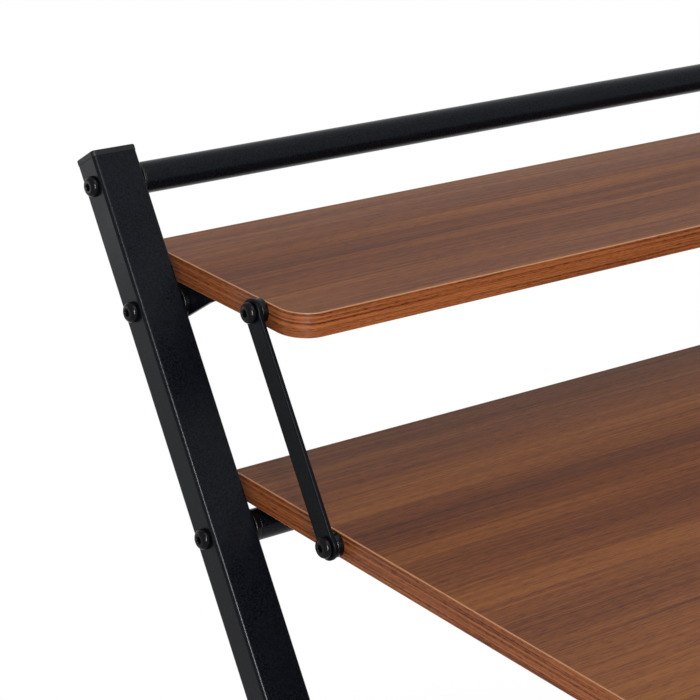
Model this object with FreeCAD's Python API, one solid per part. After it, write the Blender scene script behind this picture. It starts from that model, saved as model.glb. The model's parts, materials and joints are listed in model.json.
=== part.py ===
"""Folding two-tier ladder desk, in millimetres.

Two rectangular tube posts lean back and carry a top rail, a narrow shelf and a desktop between them. Shelf
and desktop turn on the posts, and a flat link on each side keeps them parallel. A frame of two flat arms and
a cross tube props the desktop, and a pair of rear legs is hinged behind the posts. +X is the user's right,
-Y the user's side, +Z up. The origin lies on the floor at the centre of the desk's footprint.

Parts of a leaning group are drawn upright and then leaned: a post along Z with the desktop pivot at its zero,
a rear leg hanging down from its hinge, the support frame standing up from its pivot. Parts of the right side
are drawn at +X and mirrored for the left.
"""
import FreeCAD
import Part
import math
import os
from FreeCAD import Placement, Rotation, Vector

# Driving dimensions: posts and cross tubes
LEAN = 34.0                # degrees the posts lean back from upright
POST_WIDTH = 30.0          # across the desk
POST_DEPTH = 20.0
TUBE_WALL = 1.2
TUBE_CORNER = 2.5          # outer edge radius of the rectangular tubes
RAIL_RADIUS = 9.5
PIVOT_SPACING = 138.0      # along the post, desktop pivot to shelf pivot
RAIL_SPACING = 77.5        # along the post, shelf pivot to top rail
POST_HEAD = 15.5           # along the post, top rail to the cut end
STRETCHER_RISE = 160.0     # along the post, floor to the front stretcher

# Driving dimensions: panels
PANEL_WIDTH = 800.0
PANEL_THICKNESS = 15.0
BAND = 1.0                 # edge band around a panel
PANEL_CORNER = 18.0        # radius of the front corners
SIDE_GAP = 4.0             # side of a panel to the post
DESK_HEIGHT = 740.0
DESK_DEPTH = 550.0
DESK_REAR = 20.5           # rear edge behind the pivot
SHELF_DEPTH = 150.0
SHELF_REAR = 38.0
SHELF_DROP = 11.0          # shelf's underside to its pivot

# Driving dimensions: links
LINK_FORWARD = 78.0        # link bolts in front of the panels' pivots
LINK_RISE = 19.5           # link bolts above the panels' pivots
LINK_WIDTH = 14.0
LINK_THICKNESS = 3.0
LINK_ARRIS = 0.8
INSERT_FLANGE = 4.2        # panel edge to link
INSERT_FLANGE_RADIUS = 7.5
INSERT_RADIUS = 4.5
INSERT_LENGTH = 15.0

# Driving dimensions: support frame and rear legs
SUPPORT_ARM = 257.0        # pivot to cross tube, and desktop pivot to support pivot along the post
SUPPORT_RADIUS = 8.0
ARM_WIDTH = 20.0
ARM_THICKNESS = 4.0
SUPPORT_SPACER = 4.0
LEG_SIDE = 20.0            # square tube
LEG_HEAD = 7.0             # hinge to the leg's cut upper end
HINGE_DROP = 300.0         # along the post, desktop pivot down to the rear hinge
HEEL_REACH = 142.0         # rear feet's heel behind the desktop pivot
LEG_STRETCHER_RISE = 125.0  # along the leg, floor to the rear stretcher

# Driving dimensions: brackets
PLATE = 2.5                # steel plate
BRACKET_RADIUS = 11.0      # cheek around the rear hinge bolt
BRACKET_RISE = 26.0        # cheek's root above the hinge
BRACKET_FALL = 30.0        # cheek's root below the hinge
STOP_ARM = 18.0            # along the open leg, hinge to stop pin
STOP_RADIUS = 3.0
STOP_EDGE = 7.0            # plate beyond the stop pin's axis
STOP_TOE = 9.5             # plate below the stop pin's axis
STOP_ROUND = 6.0
EAR_RADIUS = 9.5           # shelf bracket around its pivot
EAR_FRONT = 28.5
EAR_REAR = 20.0
FLANGE_WIDTH = 30.0        # shelf bracket's flange under the shelf
BEND_INSIDE = 3.0          # inside radius of the bracket's bend
BEND_OUTSIDE = 2.0
WELD_PLATE = 3.0           # desktop's mounting plates
WELD_PLATE_LENGTH = 60.0   # across the desk
WELD_PLATE_DEPTH = 44.0
WELD_PLATE_INSET = 50.0    # side of the desktop to the middle of an outer plate
WELD_PLATE_SPREAD = 240.0  # between the two inner plates
WELD_TOP = 15.4            # weld seam where it meets the plate
WELD_BOTTOM = 11.4         # weld seam where it meets the tube
WELD_DEPTH = 2.4

# Driving dimensions: plastics
CAP_HEAD = 3.5
CAP_PROUD = 0.4
CAP_ARRIS = 0.9
POST_CAP_SKIRT = 12.0
LEG_CAP_SKIRT = 3.5        # ends above the hinge bolt
FOOT_WALL = 2.5
FOOT_SOLE = 5.0
FOOT_HEIGHT = 34.0
PLUG_DEPTH = 14.0
RAIL_FLANGE = 1.5          # flange of the top rail's end plugs
BUSH_LENGTH = 4.0          # shelf bushing, and flange of the desktop tube's end plugs
GLIDE_WIDTH = 24.0
GLIDE_INSET = 100.0        # side of the desktop to the middle of a glide
GLIDE_OVERRUN = 6.0        # strip beyond the folded cross tube
GLIDE_ROUND = 1.5
CRADLE_WALL = 3.7
CRADLE_LIP = 5.0           # lower lip in front of the cross tube's centre
CRADLE_BRACE = 14.0        # brace behind the cradle's back

# Driving dimensions: bolts and nuts
BOLT_RADIUS = 3.0
BOLT_HEAD_RADIUS = 6.25
BOLT_CROWN_RADIUS = 3.7    # flat top of the head
BOLT_HEAD = 4.0
SOCKET_ACROSS = 4.0
SOCKET_DEPTH = 2.4
NUT_ACROSS = 10.0
NUT_HEIGHT = 6.0

# Clearances
RUN = 0.3                  # between faces that move past each other
PIN_FIT = 0.1              # radial, bolt in a hole that turns on it
SEAT_FIT = 0.05            # radial, plug or thread in its hole
SLEEVE_FIT = 0.1           # foot or cap plug on a tube
DRILL_END = 2.0            # blind hole beyond the piece in it

# Worked out from the sizes above
SIN = math.sin(math.radians(LEAN))
COS = math.cos(math.radians(LEAN))
DESK_DROP = WELD_PLATE + RAIL_RADIUS                 # desktop's underside to its pivot
PIVOT_Z = DESK_HEIGHT - PANEL_THICKNESS - DESK_DROP
DESK_FRONT = DESK_DEPTH - DESK_REAR                  # front edge in front of the pivot
PIVOT_Y = (DESK_FRONT - HEEL_REACH) / 2.0            # centres the footprint on the origin
PANEL_HALF = PANEL_WIDTH / 2.0
POST_INNER = PANEL_HALF + SIDE_GAP
POST_OUTER = POST_INNER + POST_WIDTH
POST_MIDDLE = POST_INNER + POST_WIDTH / 2.0
RAIL_PLACE = PIVOT_SPACING + RAIL_SPACING
POST_TOP = RAIL_PLACE + POST_HEAD
BUSH_FACE = POST_INNER - RUN                         # outer face of the bushings beside a post
GLIDE_PLACE = PANEL_HALF - GLIDE_INSET
WELD_PLATE_PLACES = (WELD_PLATE_INSET - PANEL_HALF, -WELD_PLATE_SPREAD / 2.0,
                     WELD_PLATE_SPREAD / 2.0, PANEL_HALF - WELD_PLATE_INSET)
SHELF_PIVOT_Y = PIVOT_Y + PIVOT_SPACING * SIN
SHELF_PIVOT_Z = PIVOT_Z + PIVOT_SPACING * COS
BAR_REACH = 2.0 * SUPPORT_ARM * SIN                  # desktop pivot to cross tube, desk open
BAR_REACH_FOLDED = 2.0 * SUPPORT_ARM
ARM_FACE = POST_INNER - SUPPORT_SPACER - RUN         # outer face of the support frame's arm
LEG_INNER = POST_MIDDLE - LEG_SIDE / 2.0
HINGE_OFFSET = POST_DEPTH / 2.0 + PLATE + RUN + math.hypot(LEG_HEAD + CAP_HEAD, LEG_SIDE / 2.0 + CAP_PROUD)
BRACKET_GAP = LEG_SIDE / 2.0 + CAP_PROUD + RUN       # half the space between a rear bracket's cheeks
BRACKET_HALF = BRACKET_GAP + PLATE
HINGE_Y = PIVOT_Y - HINGE_DROP * SIN + HINGE_OFFSET * COS
HINGE_Z = PIVOT_Z - HINGE_DROP * COS - HINGE_OFFSET * SIN
HEEL_Y = PIVOT_Y + HEEL_REACH
HEEL_HALF = LEG_SIDE / 2.0 + FOOT_WALL
SPLAY = math.degrees(
    math.acos(HEEL_HALF / math.hypot(HEEL_Y - HINGE_Y, HINGE_Z)) - math.atan2(HINGE_Z, HEEL_Y - HINGE_Y)
)                                                    # rear legs lean forward by this
LEG_FOLD = LEAN + SPLAY
POST_REACH = PIVOT_Z / COS                           # along the post, desktop pivot down to the floor
LEG_REACH = HINGE_Z / math.cos(math.radians(SPLAY))  # along the rear leg, hinge down to the floor


# Outlines and plain solids

def rounded_wire(corners):
    """Closed wire in the XY plane through (x, y, radius) corners, each rounded by an arc of its radius."""
    points = [Vector(x, y, 0) for x, y, _ in corners]
    count = len(points)
    starts, arcs, ends = [], [], []
    for i, (_, _, radius) in enumerate(corners):
        corner = points[i]
        before = (points[i - 1] - corner).normalize()
        after = (points[(i + 1) % count] - corner).normalize()
        if radius <= 0:
            starts.append(corner)
            arcs.append(None)
            ends.append(corner)
            continue
        half = before.getAngle(after) / 2.0
        reach = radius / math.tan(half)
        inward = (before + after).normalize()
        starts.append(corner + before * reach)
        ends.append(corner + after * reach)
        arcs.append(corner + inward * (radius / math.sin(half) - radius))
    edges = []
    for i in range(count):
        if arcs[i] is not None:
            edges.append(Part.Arc(starts[i], arcs[i], ends[i]).toShape())
        following = starts[(i + 1) % count]
        if ends[i].distanceToPoint(following) > 1e-6:
            edges.append(Part.LineSegment(ends[i], following).toShape())
    return Part.Wire(edges)


def rectangle(width, depth, radius=0.0):
    """Wire around the origin, width along X and depth along Y."""
    w, d = width / 2.0, depth / 2.0
    return rounded_wire([(-w, -d, radius), (w, -d, radius), (w, d, radius), (-w, d, radius)])


def prism(wire, low, high):
    """Solid between two heights over a wire in the XY plane."""
    solid = Part.Face(wire).extrude(Vector(0, 0, high - low))
    solid.translate(Vector(0, 0, low))
    return solid


def plate_x(corners, x_low, x_high):
    """Plate across X over an outline of (y, z, radius) corners."""
    solid = prism(rounded_wire(corners), x_low, x_high)
    solid.Placement = Placement(Vector(0, 0, 0), Rotation(Vector(1, 1, 1), 120)).multiply(solid.Placement)
    return solid


def rod(x_low, x_high, radius, y=0.0, z=0.0):
    """Round bar along X."""
    return Part.makeCylinder(radius, x_high - x_low, Vector(x_low, y, z), Vector(1, 0, 0))


def ring(x_low, x_high, radius, bore):
    return rod(x_low, x_high, radius).cut(rod(x_low, x_high, bore))


def turned(outline):
    """Solid of revolution about the X axis, from a closed outline of (x, radius) points."""
    corners = [Vector(x, radius, 0) for x, radius in outline]
    return Part.Face(Part.makePolygon(corners + corners[:1])).revolve(Vector(0, 0, 0), Vector(1, 0, 0), 360)


# Places

def at(solid, x=0.0, y=0.0, z=0.0):
    copy = solid.copy()
    copy.translate(Vector(x, y, z))
    return copy


def swung(solid, angle, y, z):
    """Turn about the X axis through the origin, then move the origin to (0, y, z)."""
    copy = solid.copy()
    copy.rotate(Vector(0, 0, 0), Vector(1, 0, 0), angle)
    copy.translate(Vector(0, y, z))
    return copy


def leaned(solid):
    """From the post's own frame: zero at the desktop pivot, Z up the post, -Y its front."""
    return swung(solid, -LEAN, PIVOT_Y, PIVOT_Z)


def splayed(solid):
    """From the rear leg's own frame: zero at its hinge, the leg along -Z, -Y the side that meets the post."""
    return swung(solid, SPLAY, HINGE_Y, HINGE_Z)


def propped(solid):
    """From the support frame's own frame: zero at its pivot, the arms along +Z."""
    return swung(solid, LEAN, PIVOT_Y - SUPPORT_ARM * SIN, PIVOT_Z - SUPPORT_ARM * COS)


def on_desktop(solid):
    return at(solid, y=PIVOT_Y, z=PIVOT_Z)


def on_shelf(solid):
    return at(solid, y=SHELF_PIVOT_Y, z=SHELF_PIVOT_Z)


def mirrored(solid):
    return solid.mirror(Vector(0, 0, 0), Vector(1, 0, 0))


def pair(solid):
    """A right-hand piece and its left-hand twin as one group."""
    return Part.makeCompound([solid, mirrored(solid)])


def save(name, shape):
    shape.exportStep(os.path.join("parts", name + ".step"))


def save_sides(name, right):
    """Write a right-hand piece and its mirror image as two nodes."""
    save("right_" + name, right)
    save("left_" + name, mirrored(right))


# Bolts, nuts and plugs, drawn for the right side with the head towards +X

def hexagon(across, x_low, x_high):
    """Hexagonal prism along X, across its flats."""
    radius = across / math.sqrt(3.0)
    angles = [k * math.pi / 3.0 for k in range(6)]
    return plate_x([(radius * math.cos(a), radius * math.sin(a), 0) for a in angles], x_low, x_high)


def socket_bolt(length):
    """Button-head bolt with a hexagon socket, under-head face at x = 0, shank along -X."""
    bolt = turned([(0, BOLT_RADIUS), (-length, BOLT_RADIUS), (-length, 0), (BOLT_HEAD, 0),
                   (BOLT_HEAD, BOLT_CROWN_RADIUS), (0, BOLT_HEAD_RADIUS)])
    return bolt.cut(hexagon(SOCKET_ACROSS, BOLT_HEAD - SOCKET_DEPTH, BOLT_HEAD))


def nut():
    """Hexagon nut, bearing face at x = 0, body along -X."""
    return hexagon(NUT_ACROSS, -NUT_HEIGHT, 0).cut(rod(-NUT_HEIGHT, 0, BOLT_RADIUS + SEAT_FIT))


def end_plug(flange, tube_radius):
    """Plug of a round tube with a flange, outer face at x = 0, drilled for its bolt."""
    inner = tube_radius - TUBE_WALL - SEAT_FIT
    bore = BOLT_RADIUS + SEAT_FIT
    end = -flange - PLUG_DEPTH
    return turned([(0, bore), (end, bore), (end, inner), (-flange, inner), (-flange, tube_radius),
                   (0, tube_radius)])


def round_tube(half_length, radius):
    return ring(-half_length, half_length, radius, radius - TUBE_WALL)


# Tubes with caps and feet

def box_tube(width, depth, low, high):
    outer = prism(rectangle(width, depth, TUBE_CORNER), low, high)
    return outer.cut(prism(rectangle(width - 2 * TUBE_WALL, depth - 2 * TUBE_WALL), low, high))


def tube_cap(width, depth, end, skirt):
    """Cap for the upper end of a rectangular tube: a head with a worn arris on a plug of a given depth."""
    proud = 2 * CAP_PROUD
    head = prism(rectangle(width + proud, depth + proud, TUBE_CORNER + CAP_PROUD), end, end + CAP_HEAD)
    rim = [e for e in head.Edges if e.BoundBox.ZMin > end + CAP_HEAD - 1e-6]
    slack = 2 * (TUBE_WALL + SLEEVE_FIT)
    plug = prism(rectangle(width - slack, depth - slack), end - skirt, end)
    return head.makeChamfer(CAP_ARRIS, rim).fuse(plug).removeSplitter()


def floor_block(height):
    """Everything under a given height above the floor, around the desk."""
    size = 3.0 * DESK_HEIGHT
    return Part.makeBox(size, size, size, Vector(-size / 2.0, -size / 2.0, height - size))


def tube_foot(width, depth, reach, place):
    """Sheath foot around the end of a leaning tube that meets the floor at a reach below its frame's zero."""
    low, high = -reach - 2.0 * FOOT_HEIGHT, -reach + FOOT_HEIGHT
    wall, slack = 2 * FOOT_WALL, 2 * SLEEVE_FIT
    shell = prism(rectangle(width + wall, depth + wall, TUBE_CORNER + FOOT_WALL), low, high)
    pocket = prism(rectangle(width + slack, depth + slack), low, high)
    foot = place(shell).cut(floor_block(0.0))
    return foot.cut(place(pocket).cut(floor_block(FOOT_SOLE)))


# Post frame

def post_tube():
    """Right post in its own frame, drilled for its four cross bolts."""
    bottom = -(POST_REACH + POST_DEPTH)
    tube = at(box_tube(POST_WIDTH, POST_DEPTH, bottom, POST_TOP), x=POST_MIDDLE)
    turning = [rod(POST_INNER, POST_OUTER, BOLT_RADIUS + PIN_FIT, z=z) for z in (0.0, PIVOT_SPACING)]
    fixed = [rod(POST_INNER, POST_OUTER, BOLT_RADIUS + SEAT_FIT, z=z) for z in (RAIL_PLACE, -SUPPORT_ARM)]
    return tube.cut(turning + fixed)


def top_rail():
    """Round rail with flanged end plugs, bolted through the posts."""
    bolt = at(socket_bolt(POST_WIDTH + RAIL_FLANGE + PLUG_DEPTH), x=POST_OUTER)
    plug = at(end_plug(RAIL_FLANGE, RAIL_RADIUS), x=POST_INNER)
    for name, shape in (("top_rail", round_tube(POST_INNER - RAIL_FLANGE, RAIL_RADIUS)),
                        ("top_rail_plugs", pair(plug)), ("top_rail_bolts", pair(bolt))):
        save(name, leaned(at(shape, z=RAIL_PLACE)))


def post_frame():
    save_sides("post", leaned(post_tube()).cut(floor_block(FOOT_SOLE)))
    cap = tube_cap(POST_WIDTH, POST_DEPTH, POST_TOP, POST_CAP_SKIRT)
    save_sides("post_cap", leaned(at(cap, x=POST_MIDDLE)))
    foot = tube_foot(POST_WIDTH, POST_DEPTH, POST_REACH, leaned)
    save_sides("post_foot", at(foot, x=POST_MIDDLE))
    top_rail()
    save("front_stretcher", leaned(at(round_tube(POST_INNER, RAIL_RADIUS), z=STRETCHER_RISE - POST_REACH)))


def stop_pin_place():
    """Stop pin in the post's frame, just behind the open rear leg's outer face."""
    angle = math.radians(LEG_FOLD)
    side = LEG_SIDE / 2.0 + STOP_RADIUS + RUN
    y = HINGE_OFFSET + STOP_ARM * math.sin(angle) + side * math.cos(angle)
    z = -HINGE_DROP - STOP_ARM * math.cos(angle) + side * math.sin(angle)
    return y, z


def rear_bracket():
    """Right U bracket in the post's frame: a web on the post, two cheeks around the leg and a welded stop pin."""
    face = POST_DEPTH / 2.0
    top = BRACKET_RISE - HINGE_DROP
    bottom = -BRACKET_FALL - HINGE_DROP
    pin_y, pin_z = stop_pin_place()
    cheek = plate_x([(face, top, 0), (HINGE_OFFSET, top, BRACKET_RADIUS),
                     (pin_y + STOP_EDGE, pin_z + BRACKET_RADIUS, STOP_ROUND),
                     (pin_y + STOP_EDGE, pin_z - STOP_TOE, STOP_ROUND), (face, bottom, 0)],
                    -BRACKET_HALF, BRACKET_HALF)
    web = face + PLATE
    gap = Part.makeBox(2 * BRACKET_GAP, 2 * pin_y, top - bottom, Vector(-BRACKET_GAP, web, bottom))
    bore = rod(-BRACKET_HALF, BRACKET_HALF, BOLT_RADIUS + SEAT_FIT, HINGE_OFFSET, -HINGE_DROP)
    pin = rod(-BRACKET_GAP, BRACKET_GAP, STOP_RADIUS, pin_y, pin_z)
    return at(cheek.cut([gap, bore]).fuse(pin), x=POST_MIDDLE)


def rear_hinges():
    """Rear brackets with their hinge bolts and nuts."""
    save_sides("rear_bracket", leaned(rear_bracket()))
    bolt = at(socket_bolt(2 * BRACKET_HALF + NUT_HEIGHT), x=POST_MIDDLE + BRACKET_HALF)
    for name, right in (("bolts", bolt), ("nuts", at(nut(), x=POST_MIDDLE - BRACKET_HALF))):
        save("rear_hinge_" + name, leaned(at(pair(right), y=HINGE_OFFSET, z=-HINGE_DROP)))


def support_pivots():
    """Bolts through the posts that carry the support frame, with a spacer and a nut inside."""
    spacer = at(ring(-SUPPORT_SPACER, 0, RAIL_RADIUS, BOLT_RADIUS + SEAT_FIT), x=POST_INNER)
    grip = SUPPORT_SPACER + ARM_THICKNESS + 2 * RUN
    bolt = at(socket_bolt(POST_WIDTH + grip + NUT_HEIGHT), x=POST_OUTER)
    for name, right in (("spacers", spacer), ("bolts", bolt), ("nuts", at(nut(), x=POST_INNER - grip))):
        save("support_pivot_" + name, leaned(at(pair(right), z=-SUPPORT_ARM)))


# Panels

def panel_outline(rear, front, inset):
    """Outline of a panel in its pivot's frame, pulled in by an inset."""
    half, back, nose = PANEL_HALF - inset, rear - inset, front - inset
    radius = PANEL_CORNER - inset
    return rounded_wire([(-half, -nose, radius), (half, -nose, radius), (half, back, 0), (-half, back, 0)])


def panel_pair(name, rear, front, drop, place):
    """A panel and its edge band around a pivot at the origin, with link inserts and bolts at its sides."""
    low, high = drop, drop + PANEL_THICKNESS
    board = prism(panel_outline(rear, front, BAND), low, high)
    band = prism(panel_outline(rear, front, 0.0), low, high).cut(board)
    pocket = pair(rod(PANEL_HALF - INSERT_LENGTH - DRILL_END, PANEL_HALF, INSERT_RADIUS + SEAT_FIT))
    pocket = at(pocket, y=-LINK_FORWARD, z=LINK_RISE)
    bore = BOLT_RADIUS + SEAT_FIT
    insert = turned([(INSERT_FLANGE, bore), (INSERT_FLANGE, INSERT_FLANGE_RADIUS), (0, INSERT_FLANGE_RADIUS),
                     (0, INSERT_RADIUS), (-INSERT_LENGTH, INSERT_RADIUS), (-INSERT_LENGTH, bore)])
    grip = INSERT_FLANGE + LINK_THICKNESS + 2 * RUN
    bolt = at(socket_bolt(grip + INSERT_LENGTH), x=grip)
    save(name + "_panel", place(board.cut(pocket)))
    save(name + "_edge_band", place(band.cut(pocket)))
    for kind, right in (("inserts", insert), ("bolts", bolt)):
        save(name + "_link_" + kind, place(at(pair(at(right, x=PANEL_HALF)), y=-LINK_FORWARD, z=LINK_RISE)))


def pivot_bolt(inside):
    """Bolt that turns with its panel in the post's hole, reaching a given length inside the post."""
    return at(socket_bolt(POST_WIDTH + RUN + inside), x=POST_OUTER + RUN)


# Desktop

def pivot_tube():
    """Desktop's pivot tube with the mounting plates welded along its top."""
    half_length = BUSH_FACE - BUSH_LENGTH
    underside = RAIL_RADIUS
    half_plate = WELD_PLATE_LENGTH / 2.0
    plate = prism(rectangle(WELD_PLATE_LENGTH, WELD_PLATE_DEPTH), underside, DESK_DROP)
    seam = plate_x([(-WELD_TOP / 2.0, underside, 0), (WELD_TOP / 2.0, underside, 0),
                    (WELD_BOTTOM / 2.0, underside - WELD_DEPTH, 0),
                    (-WELD_BOTTOM / 2.0, underside - WELD_DEPTH, 0)], -half_plate, half_plate)
    welded = [at(piece, x=x) for x in WELD_PLATE_PLACES for piece in (plate, seam)]
    body = rod(-half_length, half_length, RAIL_RADIUS).fuse(welded).removeSplitter()
    return body.cut(rod(-half_length, half_length, RAIL_RADIUS - TUBE_WALL))


def glide():
    """Right glide in the desktop's frame: a strip for the cross tube to slide on and a cradle it rests in."""
    top = DESK_DROP
    under = SUPPORT_RADIUS + RUN
    outer = under + CRADLE_WALL
    rear = -BAR_REACH + outer
    front = -BAR_REACH_FOLDED - SUPPORT_RADIUS - GLIDE_OVERRUN
    lip_front = -BAR_REACH - CRADLE_LIP
    brace_rear = rear + CRADLE_BRACE
    mouth_front = -BAR_REACH - 3 * under
    span = (GLIDE_PLACE - GLIDE_WIDTH / 2.0, GLIDE_PLACE + GLIDE_WIDTH / 2.0)
    strip = plate_x([(front, under, 0), (rear, under, 0), (rear, top, 0), (front, top, GLIDE_ROUND)], *span)
    keep = plate_x([(-BAR_REACH, -outer, 0), (rear, -outer, 0), (rear, under, 0), (-BAR_REACH, under, 0)], *span)
    hook = rod(*span, outer, -BAR_REACH).common(keep)
    lip = plate_x([(lip_front, -outer, GLIDE_ROUND), (-BAR_REACH, -outer, 0), (-BAR_REACH, -under, 0),
                   (lip_front, -under, GLIDE_ROUND)], *span)
    brace = plate_x([(-BAR_REACH, 0, 0), (rear, 0, 0), (rear, under / 2.0, 0), (brace_rear, under, 0),
                     (brace_rear, top, GLIDE_ROUND), (-BAR_REACH, top, 0)], *span)
    bed = rod(*span, under, -BAR_REACH)
    mouth = plate_x([(mouth_front, -under, 0), (-BAR_REACH, -under, 0), (-BAR_REACH, under, 0),
                     (mouth_front, under, 0)], *span)
    return strip.fuse([hook, lip, brace]).removeSplitter().cut([bed, mouth])


def desktop():
    panel_pair("desktop", DESK_REAR, DESK_FRONT, DESK_DROP, on_desktop)
    save("desktop_pivot_tube", on_desktop(pivot_tube()))
    save("desktop_tube_plugs", on_desktop(pair(at(end_plug(BUSH_LENGTH, RAIL_RADIUS), x=BUSH_FACE))))
    save("desktop_pivot_bolts", on_desktop(pair(pivot_bolt(RUN + BUSH_LENGTH + PLUG_DEPTH))))
    save_sides("glide", on_desktop(glide()))


# Shelf

def tangent_point(y, z, radius, side):
    """Point where the line from (y, z) touches a circle of a radius around the origin; side is +1 or -1."""
    angle = math.atan2(z, y) + side * math.acos(radius / math.hypot(y, z))
    return Vector(0, radius * math.cos(angle), radius * math.sin(angle))


def shelf_bracket():
    """Right shelf bracket around the pivot: an ear beside the bushing and a flange under the shelf."""
    outer = BUSH_FACE - BUSH_LENGTH
    inner = outer - PLATE
    top = SHELF_DROP
    root = top - PLATE
    length = EAR_FRONT + EAR_REAR
    flat = [(EAR_REAR, root), (EAR_REAR, top), (-EAR_FRONT, top), (-EAR_FRONT, root)]
    points = [tangent_point(*flat[0], EAR_RADIUS, -1)] + [Vector(0, y, z) for y, z in flat]
    points.append(tangent_point(*flat[-1], EAR_RADIUS, 1))
    edges = [Part.LineSegment(a, b).toShape() for a, b in zip(points, points[1:])]
    edges.append(Part.Arc(points[-1], Vector(0, 0, -EAR_RADIUS), points[0]).toShape())
    outline = Part.Face(Part.Wire(edges))
    ear = at(outline.extrude(Vector(PLATE, 0, 0)), x=inner)
    flange = Part.makeBox(FLANGE_WIDTH, length, PLATE, Vector(outer - FLANGE_WIDTH, -EAR_FRONT, root))
    corner = Vector(inner - BEND_INSIDE, -EAR_FRONT, root - BEND_INSIDE)
    hollow = Part.makeCylinder(BEND_INSIDE, length, corner, Vector(0, 1, 0))
    bend = Part.makeBox(BEND_INSIDE, length, BEND_INSIDE, corner).cut(hollow)
    bend = bend.common(at(outline.extrude(Vector(BEND_INSIDE, 0, 0)), x=inner - BEND_INSIDE))
    body = ear.fuse([flange, bend]).removeSplitter()
    fold = [e for e in body.Edges if e.BoundBox.XMin > outer - 1e-6 and e.BoundBox.ZMin > top - 1e-6]
    return body.makeFillet(BEND_OUTSIDE, fold).cut(rod(inner, outer, BOLT_RADIUS + SEAT_FIT))


def shelf():
    panel_pair("shelf", SHELF_REAR, SHELF_DEPTH - SHELF_REAR, SHELF_DROP, on_shelf)
    save_sides("shelf_bracket", on_shelf(shelf_bracket()))
    bush = at(ring(-BUSH_LENGTH, 0, EAR_RADIUS, BOLT_RADIUS + SEAT_FIT), x=BUSH_FACE)
    bolt = pivot_bolt(RUN + BUSH_LENGTH + PLATE + NUT_HEIGHT)
    inner = at(nut(), x=BUSH_FACE - BUSH_LENGTH - PLATE)
    for name, right in (("bushings", bush), ("bolts", bolt), ("nuts", inner)):
        save("shelf_pivot_" + name, on_shelf(pair(right)))


# Links

def links():
    """Flat links from the desktop's link bolts up to the shelf's, parallel to the posts."""
    half = LINK_WIDTH / 2.0
    inner = PANEL_HALF + INSERT_FLANGE + RUN
    outer = inner + LINK_THICKNESS
    end = PIVOT_SPACING + half
    bar = plate_x([(-half, -half, half), (half, -half, half), (half, end, half), (-half, end, half)],
                  inner, outer)
    rims = [e for e in bar.Edges if e.BoundBox.XMax - e.BoundBox.XMin < 1e-6]
    bar = bar.makeChamfer(LINK_ARRIS, rims)
    bar = bar.cut([rod(inner, outer, BOLT_RADIUS + PIN_FIT, z=z) for z in (0.0, PIVOT_SPACING)])
    save_sides("link", swung(bar, -LEAN, PIVOT_Y - LINK_FORWARD, PIVOT_Z + LINK_RISE))


# Support frame

def support_frame():
    """Two flat arms with a round tube welded through their upper ends."""
    half = ARM_WIDTH / 2.0
    end = SUPPORT_ARM + half
    arm = plate_x([(-half, -half, half), (half, -half, half), (half, end, half), (-half, end, half)],
                  ARM_FACE - ARM_THICKNESS, ARM_FACE)
    arm = arm.cut(rod(ARM_FACE - ARM_THICKNESS, ARM_FACE, BOLT_RADIUS + PIN_FIT))
    body = rod(-ARM_FACE, ARM_FACE, SUPPORT_RADIUS, z=SUPPORT_ARM).fuse([arm, mirrored(arm)]).removeSplitter()
    bore = rod(-ARM_FACE, ARM_FACE, SUPPORT_RADIUS - TUBE_WALL, z=SUPPORT_ARM)
    save("support_frame", propped(body.cut(bore)))


# Rear legs

def rear_legs():
    tube = at(box_tube(LEG_SIDE, LEG_SIDE, -(LEG_REACH + LEG_SIDE), LEG_HEAD), x=POST_MIDDLE)
    tube = tube.cut(rod(LEG_INNER, LEG_INNER + LEG_SIDE, BOLT_RADIUS + PIN_FIT))
    save_sides("rear_leg", splayed(tube).cut(floor_block(FOOT_SOLE)))
    cap = tube_cap(LEG_SIDE, LEG_SIDE, LEG_HEAD, LEG_CAP_SKIRT)
    save("rear_leg_caps", splayed(pair(at(cap, x=POST_MIDDLE))))
    save_sides("rear_foot", at(tube_foot(LEG_SIDE, LEG_SIDE, LEG_REACH, splayed), x=POST_MIDDLE))
    save("rear_stretcher", splayed(at(round_tube(LEG_INNER, RAIL_RADIUS), z=LEG_STRETCHER_RISE - LEG_REACH)))


os.makedirs("parts", exist_ok=True)
post_frame()
rear_hinges()
support_pivots()
desktop()
shelf()
links()
support_frame()
rear_legs()
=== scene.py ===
"""Folding two-tier ladder desk: the visible pieces of its frame and panels, and their finishes.

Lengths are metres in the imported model's frame: +X is the user's right, -Y the user's side, +Z up. Pieces of a
leaning group are drawn upright in the group's own frame and then carried to their place. Pieces of the right
side are drawn at +X and mirrored for the left.
"""

import json
import logging
import math
from dataclasses import dataclass, field, replace
from enum import Enum
from typing import Any, Sequence

import bmesh
import bpy
import numpy as np
from mathutils import Matrix, Vector


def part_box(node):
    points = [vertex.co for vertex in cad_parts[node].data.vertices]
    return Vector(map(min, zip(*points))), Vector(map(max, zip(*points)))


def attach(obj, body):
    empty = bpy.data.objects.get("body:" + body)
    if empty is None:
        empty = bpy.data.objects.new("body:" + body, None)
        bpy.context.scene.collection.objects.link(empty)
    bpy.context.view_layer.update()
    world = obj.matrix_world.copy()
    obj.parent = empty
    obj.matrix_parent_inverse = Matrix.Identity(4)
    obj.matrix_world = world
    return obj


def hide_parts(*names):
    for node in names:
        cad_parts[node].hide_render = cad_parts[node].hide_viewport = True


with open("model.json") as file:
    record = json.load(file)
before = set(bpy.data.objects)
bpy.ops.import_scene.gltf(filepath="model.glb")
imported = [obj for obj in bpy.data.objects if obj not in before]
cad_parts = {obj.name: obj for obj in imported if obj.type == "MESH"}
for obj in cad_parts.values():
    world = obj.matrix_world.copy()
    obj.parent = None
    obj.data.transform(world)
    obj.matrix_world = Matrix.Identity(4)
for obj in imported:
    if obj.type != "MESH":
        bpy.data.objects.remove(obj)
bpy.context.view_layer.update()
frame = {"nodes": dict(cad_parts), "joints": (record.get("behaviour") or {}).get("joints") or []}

Pair = tuple[float, float]
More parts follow.
